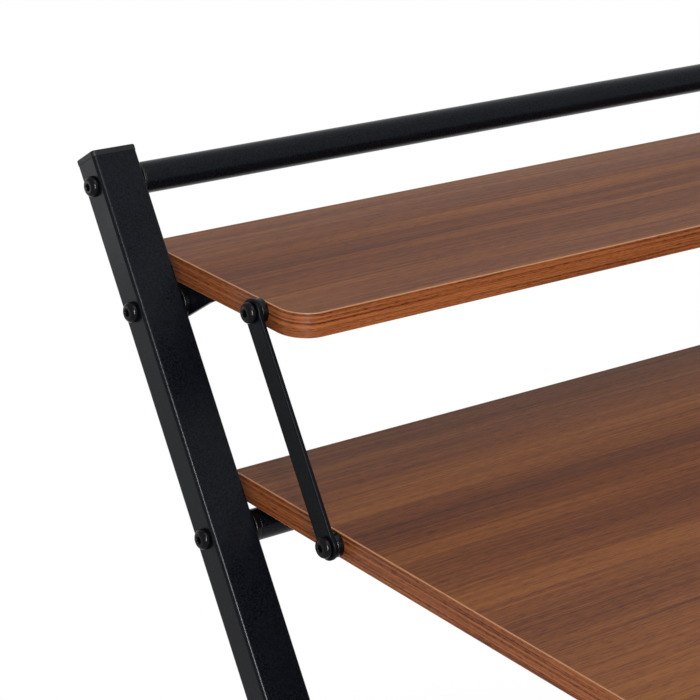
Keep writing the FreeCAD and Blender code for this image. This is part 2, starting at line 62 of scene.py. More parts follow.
Triple = tuple[float, float, float]
Tree = bpy.types.NodeTree
Node = bpy.types.Node
Socket = bpy.types.NodeSocket

LOG = logging.getLogger("ladder_desk")
MM = 0.001
FINE = 0.1 * MM             # finest step of a profile
EASE = 0.35 * MM            # flat strip beside every rounding, which keeps smooth-shaded faces flat
TUBE_ARRIS = 0.25 * MM      # rounding of a cut tube's end
ROUND = 96                  # points around a tube
HEAD_ROUND = 48             # points around a bolt or nut, a multiple of six
BEAD_ROUND = 14             # points around a weld bead
RIPPLE = 2.5 * MM           # length of weld to one ripple
RIPPLE_POINTS = 8           # points along one ripple
SWELL = 0.1                 # share by which a weld bead swells and falls with each ripple
CREASE = math.radians(32)   # angle past which an edge stays sharp
NOISE_SPAN = (0.3, 0.7)     # values between which almost all of a noise lies
MIX_A, MIX_B, MIX_OUT = 6, 7, 2     # numbers of a colour Mix node's sockets, which share their names


class Slot(Enum):
    """Material slots of the record."""

    STEEL = "powder_coat"
    BOLTS = "black_bolts"
    ZINC = "zinc_hardware"
    PLASTIC = "black_plastic"
    RUBBER = "rubber_feet"
    LAMINATE = "walnut_laminate"
    BAND = "edge_band"


class Body(Enum):
    """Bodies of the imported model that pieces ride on."""

    POSTS = "post_frame"
    DESKTOP = "desktop"
    SHELF = "shelf"
    LEFT_LINK = "left_link"
    RIGHT_LINK = "right_link"
    SUPPORT = "support_frame"
    LEGS = "rear_legs"


class Side(Enum):
    """Sides of the desk as its user faces it."""

    RIGHT = "right"
    LEFT = "left"

    def of(self, shell: "Shell") -> "Shell":
        """Return a right-hand surface, or its mirror image for the left side."""
        return shell if self is Side.RIGHT else shell.mirrored()


# Places and surfaces


@dataclass(frozen=True)
class Place:
    """A turn about the X axis through the origin, and then a move across X.

    Attributes:
        angle: The turn in radians.
        y: The move along Y.
        z: The move along Z.
    """

    angle: float = 0.0
    y: float = 0.0
    z: float = 0.0

    def carry(self, points: np.ndarray) -> np.ndarray:
        """Turn and move points.

        Args:
            points: Array whose last axis is x, y, z.

        Returns:
            A new array of the same shape.
        """
        sine, cosine = math.sin(self.angle), math.cos(self.angle)
        x, y, z = np.moveaxis(points, -1, 0)
        return np.stack([x, y * cosine - z * sine + self.y, y * sine + z * cosine + self.z], axis=-1)

    def ahead(self, y: float, z: float) -> "Place":
        """Return the place whose zero is at y, z of this one's own frame."""
        point = self.carry(np.array([0.0, y, z]))
        return Place(self.angle, float(point[1]), float(point[2]))

    @property
    def floor(self) -> float:
        """Where the place's own Z axis meets the floor."""
        return -self.z / math.cos(self.angle)


@dataclass
class Shell:
    """A closed surface of four-sided faces, with one many-sided face over each open end.

    Attributes:
        points: Array of x, y, z.
        quads: Array of four point numbers a face.
        ends: Point numbers around each end face.
        chart: Two surface coordinates for each corner of the quads, or nothing.
    """

    points: np.ndarray
    quads: np.ndarray
    ends: list[np.ndarray] = field(default_factory=list)
    chart: np.ndarray | None = None

    def volume(self) -> float:
        """Return the volume within, negative where the faces point inwards.

        It is a sixth of the sum of the triple products of every triangle's corners.
        """
        fans = [np.stack([np.full(len(e) - 2, e[0]), e[1:-1], e[2:]], axis=1) for e in self.ends]
        triangles = np.concatenate([self.quads[:, [0, 1, 2]], self.quads[:, [0, 2, 3]], *fans])
        a, b, c = (self.points[triangles[:, k]] for k in range(3))
        return float(np.einsum("ij,ij->i", a, np.cross(b, c)).sum() / 6.0)

    def flipped(self) -> "Shell":
        """Return the surface with every face turned round."""
        chart = None if self.chart is None else self.chart.reshape(-1, 4, 2)[:, ::-1].reshape(-1, 2)
        return Shell(self.points, self.quads[:, ::-1], [e[::-1] for e in self.ends], chart)

    def outward(self) -> "Shell":
        """Return the surface with its faces pointing outwards."""
        return self if self.volume() > 0 else self.flipped()

    def carried(self, place: Place) -> "Shell":
        """Return the surface at a place."""
        return replace(self, points=place.carry(self.points))

    def moved(self, x: float = 0.0, y: float = 0.0, z: float = 0.0) -> "Shell":
        """Return the surface moved."""
        return replace(self, points=self.points + np.array([x, y, z]))

    def mirrored(self) -> "Shell":
        """Return the surface's mirror image across the desk's middle plane."""
        return replace(self, points=self.points * np.array([-1.0, 1.0, 1.0])).flipped()

    def across(self) -> "Shell":
        """Return the surface with its own Z laid along X, its X along Y and its Y along Z."""
        return replace(self, points=self.points[:, [2, 0, 1]])


def grid_quads(rows: int, columns: int, endless: bool) -> np.ndarray:
    """Faces of a grid of points whose every row is a closed loop. Each face joins neighbours of two rows.

    Args:
        rows: Number of rows.
        columns: Points in a row.
        endless: Whether the last row joins the first.

    Returns:
        Array of four point numbers a face, row by row.
    """
    i = np.arange(rows if endless else rows - 1)[:, None]
    j = np.arange(columns)[None, :]
    here, there = i * columns, (i + 1) % rows * columns
    beside = (j + 1) % columns
    return np.stack([here + j, here + beside, there + beside, there + j], axis=-1).reshape(-1, 4)


def woven(grid: np.ndarray, endless: bool = False) -> Shell:
    """Surface through a grid of points, its first and last rows closed by end faces or by each other.

    Args:
        grid: Array of rows, columns and x, y, z.
        endless: Whether the last row joins the first.

    Returns:
        The surface, with its faces pointing outwards.
    """
    rows, columns = grid.shape[:2]
    around = np.arange(columns)
    ends = [] if endless else [around[::-1], around + (rows - 1) * columns]
    return Shell(grid.reshape(-1, 3), grid_quads(rows, columns, endless), ends).outward()


def both_sides(shells: Sequence[Shell]) -> list[Shell]:
    """Return right-hand surfaces followed by their mirror images."""
    return [*shells, *(shell.mirrored() for shell in shells)]


# Outlines and solids with eased edges


@dataclass(frozen=True)
class RoundedRectangle:
    """Rectangle with a radius at each corner, run round counter-clockwise from the lower right.

    Attributes:
        low: Lowest corner.
        high: Highest corner.
        radii: Corner radii: lower right, upper right, upper left, lower left.
        steps: Straight runs in each corner's arc.
        least: Smallest radius that is left where the outline moves inwards.
    """

    low: Pair
    high: Pair
    radii: tuple[float, float, float, float]
    steps: int = 8
    least: float = 0.05 * MM

    @staticmethod
    def centred(width: float, depth: float, radius: float) -> "RoundedRectangle":
        """Return a rectangle around the origin with four equal corners."""
        return RoundedRectangle((-width / 2, -depth / 2), (width / 2, depth / 2), (radius,) * 4)

    def inset(self, depth: float) -> np.ndarray:
        """Outline moved inwards.

        A corner is its arc's centre plus the radius times the cosine and sine of an angle that runs through
        90 degrees. One more point lies on the straight side before and after each arc.

        Args:
            depth: How far inside the rectangle the outline runs.

        Returns:
            Array of x, y around the outline.
        """
        side = np.array([[1, -1], [1, 1], [-1, 1], [-1, -1]])
        corner = np.where(side > 0, self.high, self.low) - side * depth
        radius = np.maximum(np.array(self.radii) - depth, self.least)[:, None]
        centre = corner - side * radius
        angle = np.radians([-90, 0, 90, 180])[:, None] + np.linspace(0, math.pi / 2, self.steps + 1)
        arc = centre[:, None] + radius[..., None] * np.stack([np.cos(angle), np.sin(angle)], axis=-1)
        along = np.stack([-np.sin(angle), np.cos(angle)], axis=-1)
        before, after = arc[:, :1] - EASE * along[:, :1], arc[:, -1:] + EASE * along[:, -1:]
        return np.concatenate([before, arc, after], axis=1).reshape(-1, 2)


@dataclass(frozen=True)
class Bar:
    """Bar with a round eye at each end, around (0, 0) and (0, length).

    Attributes:
        length: Distance between the eyes' centres.
        half: Half the bar's width.
        eye: Radius of the eyes.
        steps: Straight runs around an eye.
    """

    length: float
    half: float
    eye: float
    steps: int = 28

    def inset(self, depth: float) -> np.ndarray:
        """Outline moved inwards.

        Each eye is its centre plus the radius times the cosine and sine of an angle. The angle runs from one
        straight side to the other, past 180 degrees by twice the arc cosine of the half width over the
        radius. One more point lies on the straight side before and after the eye.

        Args:
            depth: How far inside the bar's outline it runs.

        Returns:
            Array of x, y around the outline.
        """
        past = math.acos((self.half - depth) / (self.eye - depth))
        turn = np.linspace(-math.pi - past, past, self.steps + 1)
        low = (self.eye - depth) * np.stack([np.cos(turn), np.sin(turn)], axis=1)
        high = -low + [0.0, self.length]
        rise = np.array([[0.0, EASE]])
        return np.concatenate([low[:1] + rise, low, low[-1:] + rise, high[:1] - rise, high, high[-1:] - rise])


def eased_rim(low: float, high: float, arris: float, steps: int = 4) -> np.ndarray:
    """Rim of a plate between two heights, with a quarter round at each edge.

    Args:
        low: Height of the lower face.
        high: Height of the upper face.
        arris: Radius of the quarter rounds.
        steps: Straight runs in a quarter round.

    Returns:
        Array of inset and height from the lower face round the edge to the upper face. A quarter round is the
        arris times one minus the sine, and one minus the cosine, of an angle that runs through 90 degrees.
    """
    angle = np.linspace(0.0, math.pi / 2, steps + 1)
    lower = np.stack([arris * (1 - np.sin(angle)), low + arris * (1 - np.cos(angle))], axis=1)
    upper = np.stack([lower[::-1, 0], low + high - lower[::-1, 1]], axis=1)
    flat = np.array([[arris + EASE, low]])
    wall = np.array([[0.0, low + arris + EASE], [0.0, high - arris - EASE]])
    return np.concatenate([flat, lower, wall, upper, [[arris + EASE, high]]])


def stacked(outline: RoundedRectangle | Bar, rim: np.ndarray) -> np.ndarray:
    """Grid whose every row is the outline at a rim point's inset, at that point's height.

    Args:
        outline: Outline seen along the solid's own Z.
        rim: Array of inset and height.

    Returns:
        Array of rows, columns and x, y, z.
    """
    rows = np.stack([outline.inset(depth) for depth in rim[:, 0]])
    heights = np.broadcast_to(rim[:, 1][:, None, None], (*rows.shape[:2], 1))
    return np.concatenate([rows, heights], axis=2)


def slab(outline: RoundedRectangle | Bar, rim: np.ndarray) -> Shell:
    """Return the solid whose rows are those that stacked gives."""
    return woven(stacked(outline, rim))


def shaped(x: np.ndarray, radius: np.ndarray) -> Shell:
    """Surface about X whose radius depends on the turn: a point is its x, and radius times sine and cosine.

    Args:
        x: Place of each row along X.
        radius: Array of rows and turns.

    Returns:
        The closed surface.
    """
    turn = np.linspace(0.0, 2 * math.pi, radius.shape[1], endpoint=False)
    along = np.broadcast_to(np.asarray(x)[:, None], radius.shape)
    return woven(np.stack([along, radius * np.sin(turn), radius * np.cos(turn)], axis=-1))


def lathed(profile: Sequence[Pair]) -> Shell:
    """Return the surface of revolution of a profile: pairs of x and radius from end to end."""
    x, radius = np.asarray(profile, float).T
    return shaped(x, np.broadcast_to(radius[:, None], (len(x), ROUND)))


def headed(rows: Sequence[tuple[float, np.ndarray]]) -> Shell:
    """Return the surface through rows of x and of the radius at each turn."""
    x, radius = zip(*rows)
    return shaped(np.array(x), np.stack(radius))


def quarter(x: float, radius: float, dx: float, dr: float, steps: int = 5) -> list[Pair]:
    """Return a quarter ellipse of x and radius, dx times one minus the cosine and dr times the sine."""
    angle = np.linspace(0.0, math.pi / 2, steps + 1)
    return list(zip(x + dx * (1 - np.cos(angle)), radius + dr * np.sin(angle)))


def quarter_in(x: float, radius: float, dx: float, dr: float, steps: int = 5) -> list[Pair]:
    """Return a quarter ellipse of x and radius, dx times the sine and dr times one minus the cosine."""
    angle = np.linspace(0.0, math.pi / 2, steps + 1)
    return list(zip(x + dx * np.sin(angle), radius + dr * (1 - np.cos(angle))))


def barrel(low: float, high: float, radius: float, arris: float) -> Shell:
    """Round bar along X with quarter-round edges.

    Args:
        low: Where it starts.
        high: Where it ends.
        radius: Radius of the bar.
        arris: Radius of the quarter rounds.

    Returns:
        The closed surface.
    """
    inner = radius - arris
    start = quarter(low, inner, arris, arris)
    wall = [(low + arris + EASE, radius), (high - arris - EASE, radius)]
    end = quarter_in(high - arris, radius, arris, -arris)
    return lathed([(low, inner - EASE), *start, *wall, *end, (high, inner - EASE)])


def hexagon(across: float) -> np.ndarray:
    """Return a hexagon's radius at each turn: half its width over the cosine of the angle off a flat."""
    turn = np.linspace(0.0, 2 * math.pi, HEAD_ROUND, endpoint=False)
    return across / 2 / np.cos((turn + math.pi / 6) % (math.pi / 3) - math.pi / 6)


def cross(reach: float, waist: float) -> np.ndarray:
    """Return a cross's radius at each turn: its waist, plus the rest by the eighth power of cos(2 turn)."""
    turn = np.linspace(0.0, 2 * math.pi, HEAD_ROUND, endpoint=False)
    return waist + (reach - waist) * np.abs(np.cos(2 * turn)) ** 8


# Bolts, nuts, screws and welds


@dataclass(frozen=True)
class ButtonBolt:
    """Button-head bolt with a hexagon socket. Shank, head and crown, its flat top, are radii."""

    shank: float = 3.0 * MM
    head: float = 6.25 * MM
    height: float = 4.0 * MM
    crown: float = 3.4 * MM
    rim: float = 0.6 * MM       # height of the head's upright edge
    lower: float = 0.3 * MM     # rounding under that edge
    across: float = 4.0 * MM    # width of the socket across its flats
    socket: float = 2.4 * MM
    lip: float = 0.35 * MM
    floor: float = 0.94         # share of the socket's width that its floor takes
    chamfer: float = 0.6 * MM
    tip: float = 1.5 * MM       # how far the bolt stands out of its nut

    def shell(self, length: float) -> Shell:
        """Bolt with its under-head face at x = 0 and its shank along -X.

        The rows run from the middle of the socket's floor up its six flats, over the crown and down the head,
        which is a quarter ellipse, then along the shank to its chamfered tip.

        Args:
            length: Length under the head.

        Returns:
            The closed surface.
        """
        disc, flats = np.ones(HEAD_ROUND), hexagon(self.across)
        bottom = self.height - self.socket
        mouth = self.across / math.sqrt(3.0) + FINE
        sunk = [(bottom - self.lip, disc * FINE), (bottom, flats * self.floor), (bottom + FINE, flats),
                (self.height - self.lip, flats)]
        top = [(self.height, mouth), (self.height, self.crown - 1.5 * FINE)]
        dome = quarter(self.height, self.crown, self.rim + 2 * FINE - self.height, self.head - self.crown, 8)
        edge = quarter_in(self.rim, self.head, -self.lower, -self.lower, 3)
        rest = [(0.0, self.head - self.chamfer), (0.0, self.shank), (-length + self.chamfer, self.shank),
                (-length, self.shank - self.chamfer)]
        return headed(sunk + [(x, disc * radius) for x, radius in top + dome + edge + rest])


@dataclass(frozen=True)
class LockNut:
    """Hexagon nut with a clamping ring.

    The cone holds pairs of depth and radius in millimetres, from the bearing face to the ring's end. It cuts
    the hexagon's corners at both of its faces.
    """

    across: float = 10.0 * MM
    cone: tuple[Pair, ...] = (
        (0.0, 2.9), (0.0, 4.9), (0.25, 5.2), (0.5, 5.5), (0.8, 5.8), (1.2, 9.0), (3.6, 9.0), (4.0, 5.8),
        (4.3, 5.4), (4.5, 5.0), (4.5, 4.3), (5.7, 4.3), (6.0, 4.0), (6.0, 2.9))

    @property
    def height(self) -> float:
        """Height of the nut with its ring."""
        return self.cone[-1][0] * MM

    def shell(self) -> Shell:
        """Return the nut with its bearing face at x = 0 and its body along -X."""
        return headed([(-x * MM, np.minimum(radius * MM, hexagon(self.across))) for x, radius in self.cone])


@dataclass(frozen=True)
class WoodScrew:
    """Pan-head wood screw with a cross recess, of which the head and the start of the shank are made.

    The recess holds the depth, reach and waist of its cross in millimetres, from its floor up.
    """

    head: float = 3.6 * MM
    height: float = 2.2 * MM
    crown: float = 2.3 * MM
    rim: float = 0.5 * MM
    shank: float = 1.9 * MM
    stub: float = 1.0 * MM
    floor: float = 1.5 * MM
    recess: tuple[Triple, ...] = ((1.3, 0.9, 0.4), (0.1, 2.0, 0.55), (0.0, 2.15, 0.7))

    def shell(self) -> Shell:
        """Return the screw with its bearing face at z = 0 and its head, a quarter ellipse, pointing down."""
        disc = np.ones(HEAD_ROUND)
        arms = [(self.height - depth * MM, cross(reach, waist) * MM) for depth, reach, waist in self.recess]
        dome = quarter(self.height, self.crown, self.rim - self.height, self.head - self.crown, 6)
        rest = [(0.0, self.head), (0.0, self.shank), (-self.stub, self.shank)]
        upright = headed([(self.height - self.floor, disc * FINE), *arms,
                          *((x, disc * radius) for x, radius in dome + rest)])
        return replace(upright, points=upright.points[:, [1, 2, 0]] * np.array([1.0, -1.0, -1.0])).outward()


def weld_ring(x: float, radius: float, size: float) -> Shell:
    """Weld bead around a round tube: a circle carried round the tube, a little flattened against it.

    Its size is multiplied by one plus the swell times a sine with one period to each ripple.

    Args:
        x: Place of the bead's middle along X.
        radius: Outer radius of the tube.
        size: Radius of the bead.

    Returns:
        The closed surface.
    """
    flattened = 0.9
    ripples = round(2 * math.pi * radius / RIPPLE)
    path = np.linspace(0.0, 2 * math.pi, RIPPLE_POINTS * ripples, endpoint=False)[:, None]
    turn = np.linspace(0.0, 2 * math.pi, BEAD_ROUND, endpoint=False)[None, :]
    swell = size * (1 + SWELL * np.sin(ripples * path))
    reach = radius + swell * np.cos(turn) * flattened
    along = x + swell * np.sin(turn)
    return woven(np.stack([along, reach * np.sin(path), reach * np.cos(path)], axis=-1), endless=True)


def weld_line(half: float, size: float) -> Shell:
    """Straight weld bead along X around the axis, closing round at its ends.

    The radius is the size, times one plus the swell times a sine with one period to each ripple, times the
    square root of one minus the sixth power of the place between the ends.

    Args:
        half: Half the bead's length.
        size: Radius of the bead.

    Returns:
        The closed surface.
    """
    near_end = 0.995
    ripples = round(2 * half / RIPPLE)
    place = np.linspace(-near_end, near_end, RIPPLE_POINTS * ripples)
    swell = size * (1 + SWELL * np.sin(ripples * math.pi * place)) * np.sqrt(1 - place ** 6)
    return shaped(place * half, np.repeat(swell[:, None], BEAD_ROUND, axis=1))


# Finishes


def linear(code: str) -> tuple[float, float, float, float]:
    """Return the linear red, green, blue and alpha of an sRGB hex value, by the standard's curve."""
    channels = [int(code[k:k + 2], 16) / 255 for k in (1, 3, 5)]
    return (*(c / 12.92 if c <= 0.04045 else ((c + 0.055) / 1.055) ** 2.4 for c in channels), 1.0)


def blank_tree(owner: bpy.types.Material | bpy.types.World) -> Tree:
    """Return the emptied node tree of a material or world."""
    owner.use_nodes = True
    owner.node_tree.nodes.clear()
    return owner.node_tree


def add_node(tree: Tree, kind: str, settings: dict[str | int, Any] | None = None,
             links: dict[str | int, Socket] | None = None) -> Node:
    """Add a node with its settings and links.

    Args:
        tree: Node tree of the material or world.
        kind: Node type's identifier.
        settings: Values by input name or number, or by the node's own property where no input has that name.
        links: Source sockets by input name or number.

    Returns:
        The new node.
    """
    node = tree.nodes.new(kind)
    for name, value in (settings or {}).items():
        if isinstance(name, int) or name in node.inputs:
            node.inputs[name].default_value = value
        else:
            setattr(node, name, value)
    for name, source in (links or {}).items():
        tree.links.new(source, node.inputs[name])
    return node


def noise(tree: Tree, place: Socket, scale: float, detail: float, rough: float = 0.5) -> Socket:
    """Return a noise of a scale, with its number of finer layers and their share."""
    settings = {"Scale": scale, "Detail": detail, "Roughness": rough}
    return add_node(tree, "ShaderNodeTexNoise", settings, {"Vector": place}).outputs["Fac"]


def ramp_of(tree: Tree, source: Socket, places: Sequence[float], codes: Sequence[str]) -> Socket:
    """Colours along a value.

    Args:
        tree: Node tree.
        source: Socket of the value.
        places: Value at which each colour stands, in rising order.
        codes: The colours' sRGB hex values.

    Returns:
        The colour's socket.
    """
    node = add_node(tree, "ShaderNodeValToRGB", links={"Fac": source})
    stops = node.color_ramp.elements
    while len(stops) < len(places):
        stops.new(0.5)
    for stop, place, code in zip(stops, places, codes):
        stop.position = place
        stop.color = linear(code)
    return node.outputs["Color"]


@dataclass(frozen=True)
class Finish:
    """Base of every finish: a shader whose patterns the finishes of its own kind add.

    Attributes:
        name: Name of the real material and how its surface was made.
        slot: Slot of the record; not used.
        colour: sRGB hex value.
        roughness: Shader roughness.
        ior: Index of refraction.
        gloss: Share of the usual mirror reflection, 0.5 for all of it.
        metallic: 1 for bare metal.
        swing: Change of roughness where its pattern is low and where it is high.
        depth: Height of the surface's grain in metres.
        strength: Share of that height that takes effect.
    """

    name: str
    slot: Slot
    colour: str
    roughness: float
    ior: float = 1.5
    gloss: float = 0.5
    metallic: float = 0.0
    swing: Pair = (0.0, 0.0)
    depth: float = 0.0
    strength: float = 0.5

    def material(self) -> bpy.types.Material:
        """Return the finish's material, made on first use."""
        made = bpy.data.materials.get(self.name)
        if made:
            return made
        material = bpy.data.materials.new(self.name)
        tree = blank_tree(material)
        shader = add_node(tree, "ShaderNodeBsdfPrincipled", {
            "Base Color": linear(self.colour), "Roughness": self.roughness, "IOR": self.ior,
            "Specular IOR Level": self.gloss, "Metallic": self.metallic})
        add_node(tree, "ShaderNodeOutputMaterial", links={"Surface": shader.outputs["BSDF"]})
        self.dress(tree, shader)
        return material

    def dress(self, tree: Tree, shader: Node) -> None:
        """Add the finish's own patterns to the shader. The plain finish has none."""

    def grain(self, tree: Tree, pitch: float, detail: float = 2.0) -> Socket:
        """Return a cloudy pattern on the piece's object coordinates, its pitch in metres."""
        return noise(tree, add_node(tree, "ShaderNodeTexCoord").outputs["Object"], 1.0 / pitch, detail, 0.55)

    def bump(self, tree: Tree, shader: Node, height: Socket) -> None:
        """Raise the surface by a pattern times the finish's depth."""
        node = add_node(tree, "ShaderNodeBump", {"Strength": self.strength, "Distance": self.depth},
                        {"Height": height})
        tree.links.new(node.outputs["Normal"], shader.inputs["Normal"])

    def vary(self, tree: Tree, shader: Node, source: Socket) -> None:
        """Let the roughness follow a pattern by the finish's swing."""
        low, high = (self.roughness + change for change in self.swing)
        settings = {"From Min": NOISE_SPAN[0], "From Max": NOISE_SPAN[1], "To Min": low, "To Max": high}
        node = add_node(tree, "ShaderNodeMapRange", settings, {"Value": source})
        tree.links.new(node.outputs["Result"], shader.inputs["Roughness"])


@dataclass(frozen=True)
class PowderCoat(Finish):
    """Fine-texture polyester powder coat, baked on steel: a dull black with a soft sparkle from its grain.

    The real grain is about 0.4 mm; it is drawn at 1 mm so that it shows.
    """

    swing: Pair = (-0.04, 0.05)
    depth: float = 0.12 * MM
    strength: float = 0.15
    pitch: float = 1.0 * MM
    cloud: float = 35 * MM
    tones: Pair = (0.35, 0.65)
    dark: str = "#020306"
    light: str = "#11151C"

    def dress(self, tree: Tree, shader: Node) -> None:
        """Add the grain to height and colour, and slow clouds to the roughness."""
        grain = self.grain(tree, self.pitch, 3.0)
        colour = ramp_of(tree, grain, self.tones, (self.dark, self.light))
        tree.links.new(colour, shader.inputs["Base Color"])
        self.vary(tree, shader, self.grain(tree, self.cloud))
        self.bump(tree, shader, grain)


@dataclass(frozen=True)
class BlackOxide(Finish):
    """Black-oxide steel, cold-headed and oiled: near-black with a tight, oily highlight and faint smears.

    Its etched grain is finer than 0.6 mm and is drawn at that size so that it shows.
    """

    swing: Pair = (-0.07, 0.08)
    depth: float = 0.02 * MM
    strength: float = 0.4
    pitch: float = 0.6 * MM
    smear: float = 2.5 * MM

    def dress(self, tree: Tree, shader: Node) -> None:
        """Add oily smears to the roughness and a very fine grain to the height."""
        self.vary(tree, shader, self.grain(tree, self.smear, 3.0))
        self.bump(tree, shader, self.grain(tree, self.pitch))


@dataclass(frozen=True)
class ZincPlate(Finish):
    """Bright zinc plate on machined steel: a cool grey metal with cloudy patches."""

    swing: Pair = (-0.08, 0.1)
    cloud: float = 3.0 * MM
    dark: str = "#A9ACAF"
    light: str = "#D2D3D1"

    def dress(self, tree: Tree, shader: Node) -> None:
        """Add cloudy patches to colour and roughness."""
        cloud = self.grain(tree, self.cloud, 3.0)
        colour = ramp_of(tree, cloud, NOISE_SPAN, (self.dark, self.light))
        tree.links.new(colour, shader.inputs["Base Color"])
        self.vary(tree, shader, cloud)


@dataclass(frozen=True)
class Moulded(Finish):
    """Injection-moulded plastic or rubber with a fine spark-eroded grain: an even satin black.

    The real grain is about 0.1 mm and is drawn coarser so that it shows.
    """

    swing: Pair = (-0.05, 0.05)
    depth: float = 0.03 * MM
    pitch: float = 0.7 * MM
    cloud: float = 9.0 * MM

    def dress(self, tree: Tree, shader: Node) -> None:
        """Add the mould's grain to the height and slow clouds to the roughness."""
        self.vary(tree, shader, self.grain(tree, self.cloud))
        self.bump(tree, shader, self.grain(tree, self.pitch))


@dataclass(frozen=True)
class WalnutMelamine(Finish):
    """Walnut-effect melamine paper pressed on board: matt, with printed fibres along X and slow darker bands.

    The real print's fibres are about 0.3 mm wide and are drawn at 1 mm so that they show. Each pattern has a
    length along the wood, a width across it, both in metres, and a weight in the tone.
    """

    swing: Pair = (0.04, -0.04)
    depth: float = -0.03 * MM
    strength: float = 0.35
    bands: Triple = (1500 * MM, 40 * MM, 1.15)
    stripes: Triple | None = (500 * MM, 4 * MM, 0.5)
    fibres: Triple = (240 * MM, 1.0 * MM, 1.05)
    pores: Triple = (9 * MM, 0.35 * MM, -0.3)
    pore_edge: Pair = (0.5, 0.62)   # values of the pores' noise between which a pore starts
    wander: float = 14 * MM
    wander_scale: float = 3.0
    offset: float = 0.0
    tones: Triple = (0.14, 0.5, 0.86)
    codes: tuple[str, str, str] = ("#402720", "#633822", "#80502C")

    def streaks(self, tree: Tree, place: Socket, length: float, width: float, detail: float) -> Socket:
        """Return a noise drawn out along the first coordinate to streaks of a length and width in metres."""
        drawn = add_node(tree, "ShaderNodeMapping", {"Scale": (1 / length, 1 / width, 1 / width)},
                         {"Vector": place})
        return noise(tree, drawn.outputs["Vector"], 1.0, detail, 0.68)

    def mixed(self, tree: Tree, parts: Sequence[tuple[Socket, float]]) -> Socket:
        """Weighted sum of patterns around their middle.

        Args:
            tree: Node tree.
            parts: Pairs of pattern and weight.

        Returns:
            One half, plus each pattern less one half times its weight.
        """
        total = None
        for source, weight in parts:
            start = 0.5 if total is None else 0.0
            scaled = {"operation": "MULTIPLY_ADD", 1: weight, 2: start - 0.5 * weight}
            term = add_node(tree, "ShaderNodeMath", scaled, {0: source})
            if total is not None:
                term = add_node(tree, "ShaderNodeMath", {"operation": "ADD"}, {0: term.outputs[0], 1: total})
            total = term.outputs[0]
        return total

    def printed(self, tree: Tree, shader: Node, place: Socket) -> Socket:
        """Mix the print's patterns, let the fibres vary the roughness and press the pores into the surface.

        A pore is a short dark dash, the upper part of a drawn-out noise.

        Args:
            tree: Node tree.
            shader: Shader of the material.
            place: Coordinates in metres, the first along the wood.

        Returns:
            The print's colour.
        """
        broad = [pattern for pattern in (self.bands, self.stripes) if pattern]
        parts = [(self.streaks(tree, place, length, width, 2.0), weight) for length, width, weight in broad]
        fibres = self.streaks(tree, place, *self.fibres[:2], 3.0)
        start, full = self.pore_edge
        dashes = add_node(tree, "ShaderNodeMapRange", {"From Min": start, "From Max": full},
                          {"Value": self.streaks(tree, place, *self.pores[:2], 1.0)}).outputs["Result"]
        self.vary(tree, shader, fibres)
        self.bump(tree, shader, dashes)
        tone = self.mixed(tree, [*parts, (fibres, self.fibres[2]), (dashes, self.pores[2])])
        return ramp_of(tree, tone, self.tones, self.codes)

    def dress(self, tree: Tree, shader: Node) -> None:
        """Print the board on its object coordinates, whose bands wander slowly to the side."""
        flat = add_node(tree, "ShaderNodeTexCoord").outputs["Object"]
        wander = add_node(tree, "ShaderNodeTexNoise", {"Scale": self.wander_scale, "Detail": 1.0},
                          {"Vector": flat})
        aside = {"operation": "MULTIPLY_ADD", 1: (0.0, self.wander, 0.0), 2: (0.0, self.offset, 0.0)}
        shift = add_node(tree, "ShaderNodeVectorMath", aside, {0: wander.outputs["Color"]}).outputs[0]
        place = add_node(tree, "ShaderNodeVectorMath", {"operation": "ADD"}, {0: flat, 1: shift}).outputs[0]
        tree.links.new(self.printed(tree, shader, place), shader.inputs["Base Color"])


@dataclass(frozen=True)
class WalnutBand(WalnutMelamine):
    """Walnut-effect edge band, ironed on and cut flush: redder than the face, with dark lines and a tan arris.
    The tan of the rounded arrises is partly the band's lighter core, bared where its edge was cut, and partly a
    painted highlight.

    It follows the piece's own map, whose first coordinate runs along the edge and second across it.
    """

    strength: float = 0.3
    bands: Triple = (350 * MM, 1.7 * MM, 1.6)
    stripes: Triple | None = None
    fibres: Triple = (60 * MM, 0.6 * MM, 0.9)
    pores: Triple = (6 * MM, 0.35 * MM, -0.25)
    tones: Triple = (0.2, 0.42, 0.78)
    codes: tuple[str, str, str] = ("#35170B", "#783D1E", "#A26035")
    # tan of the rounded arrises: partly the band's bared core, partly a painted highlight
    trim_and_highlight_colour: str = "#AE7E58"

    def dress(self, tree: Tree, shader: Node) -> None:
        """Print the band along the edge, and lighten the arris with its bared core and a painted highlight."""
        place = add_node(tree, "ShaderNodeUVMap", {"uv_map": "edge"}).outputs["UV"]
        # mask of the rounded arrises, lightened to the band's bared core and a painted highlight
        trimmed = add_node(tree, "ShaderNodeAttribute", {"attribute_name": "trimmed"}).outputs["Fac"]
        blend = add_node(tree, "ShaderNodeMix", {"data_type": "RGBA", MIX_B: linear(self.trim_and_highlight_colour)},
                         {"Factor": trimmed, MIX_A: self.printed(tree, shader, place)})
        tree.links.new(blend.outputs[MIX_OUT], shader.inputs["Base Color"])


# Tubes and brackets: almost black, with a narrow soft highlight along every edge.
STEEL = PowderCoat("powder-coated steel", Slot.STEEL, "#090A0E", 0.27, gloss=0.08)
# The links' rolled flat: the same coat, a little darker and duller.
LINK_STEEL = replace(STEEL, name="powder-coated flat steel", roughness=0.38, gloss=0.05, dark="#010203",
                     light="#0B0E13")
# Bolt heads: sharp oily highlights around a dark socket.
BOLT = BlackOxide("black-oxide steel", Slot.BOLTS, "#0F0F12", 0.14, gloss=0.07)
# Rings between post and panel: smooth and slightly shiny.
BUSH = Moulded("moulded acetal", Slot.BOLTS, "#08080A", 0.2, gloss=0.14)
# Nuts and screws out of sight: plain bright metal.
ZINC = ZincPlate("zinc-plated steel", Slot.ZINC, "#C0C2C2", 0.35, metallic=1.0)
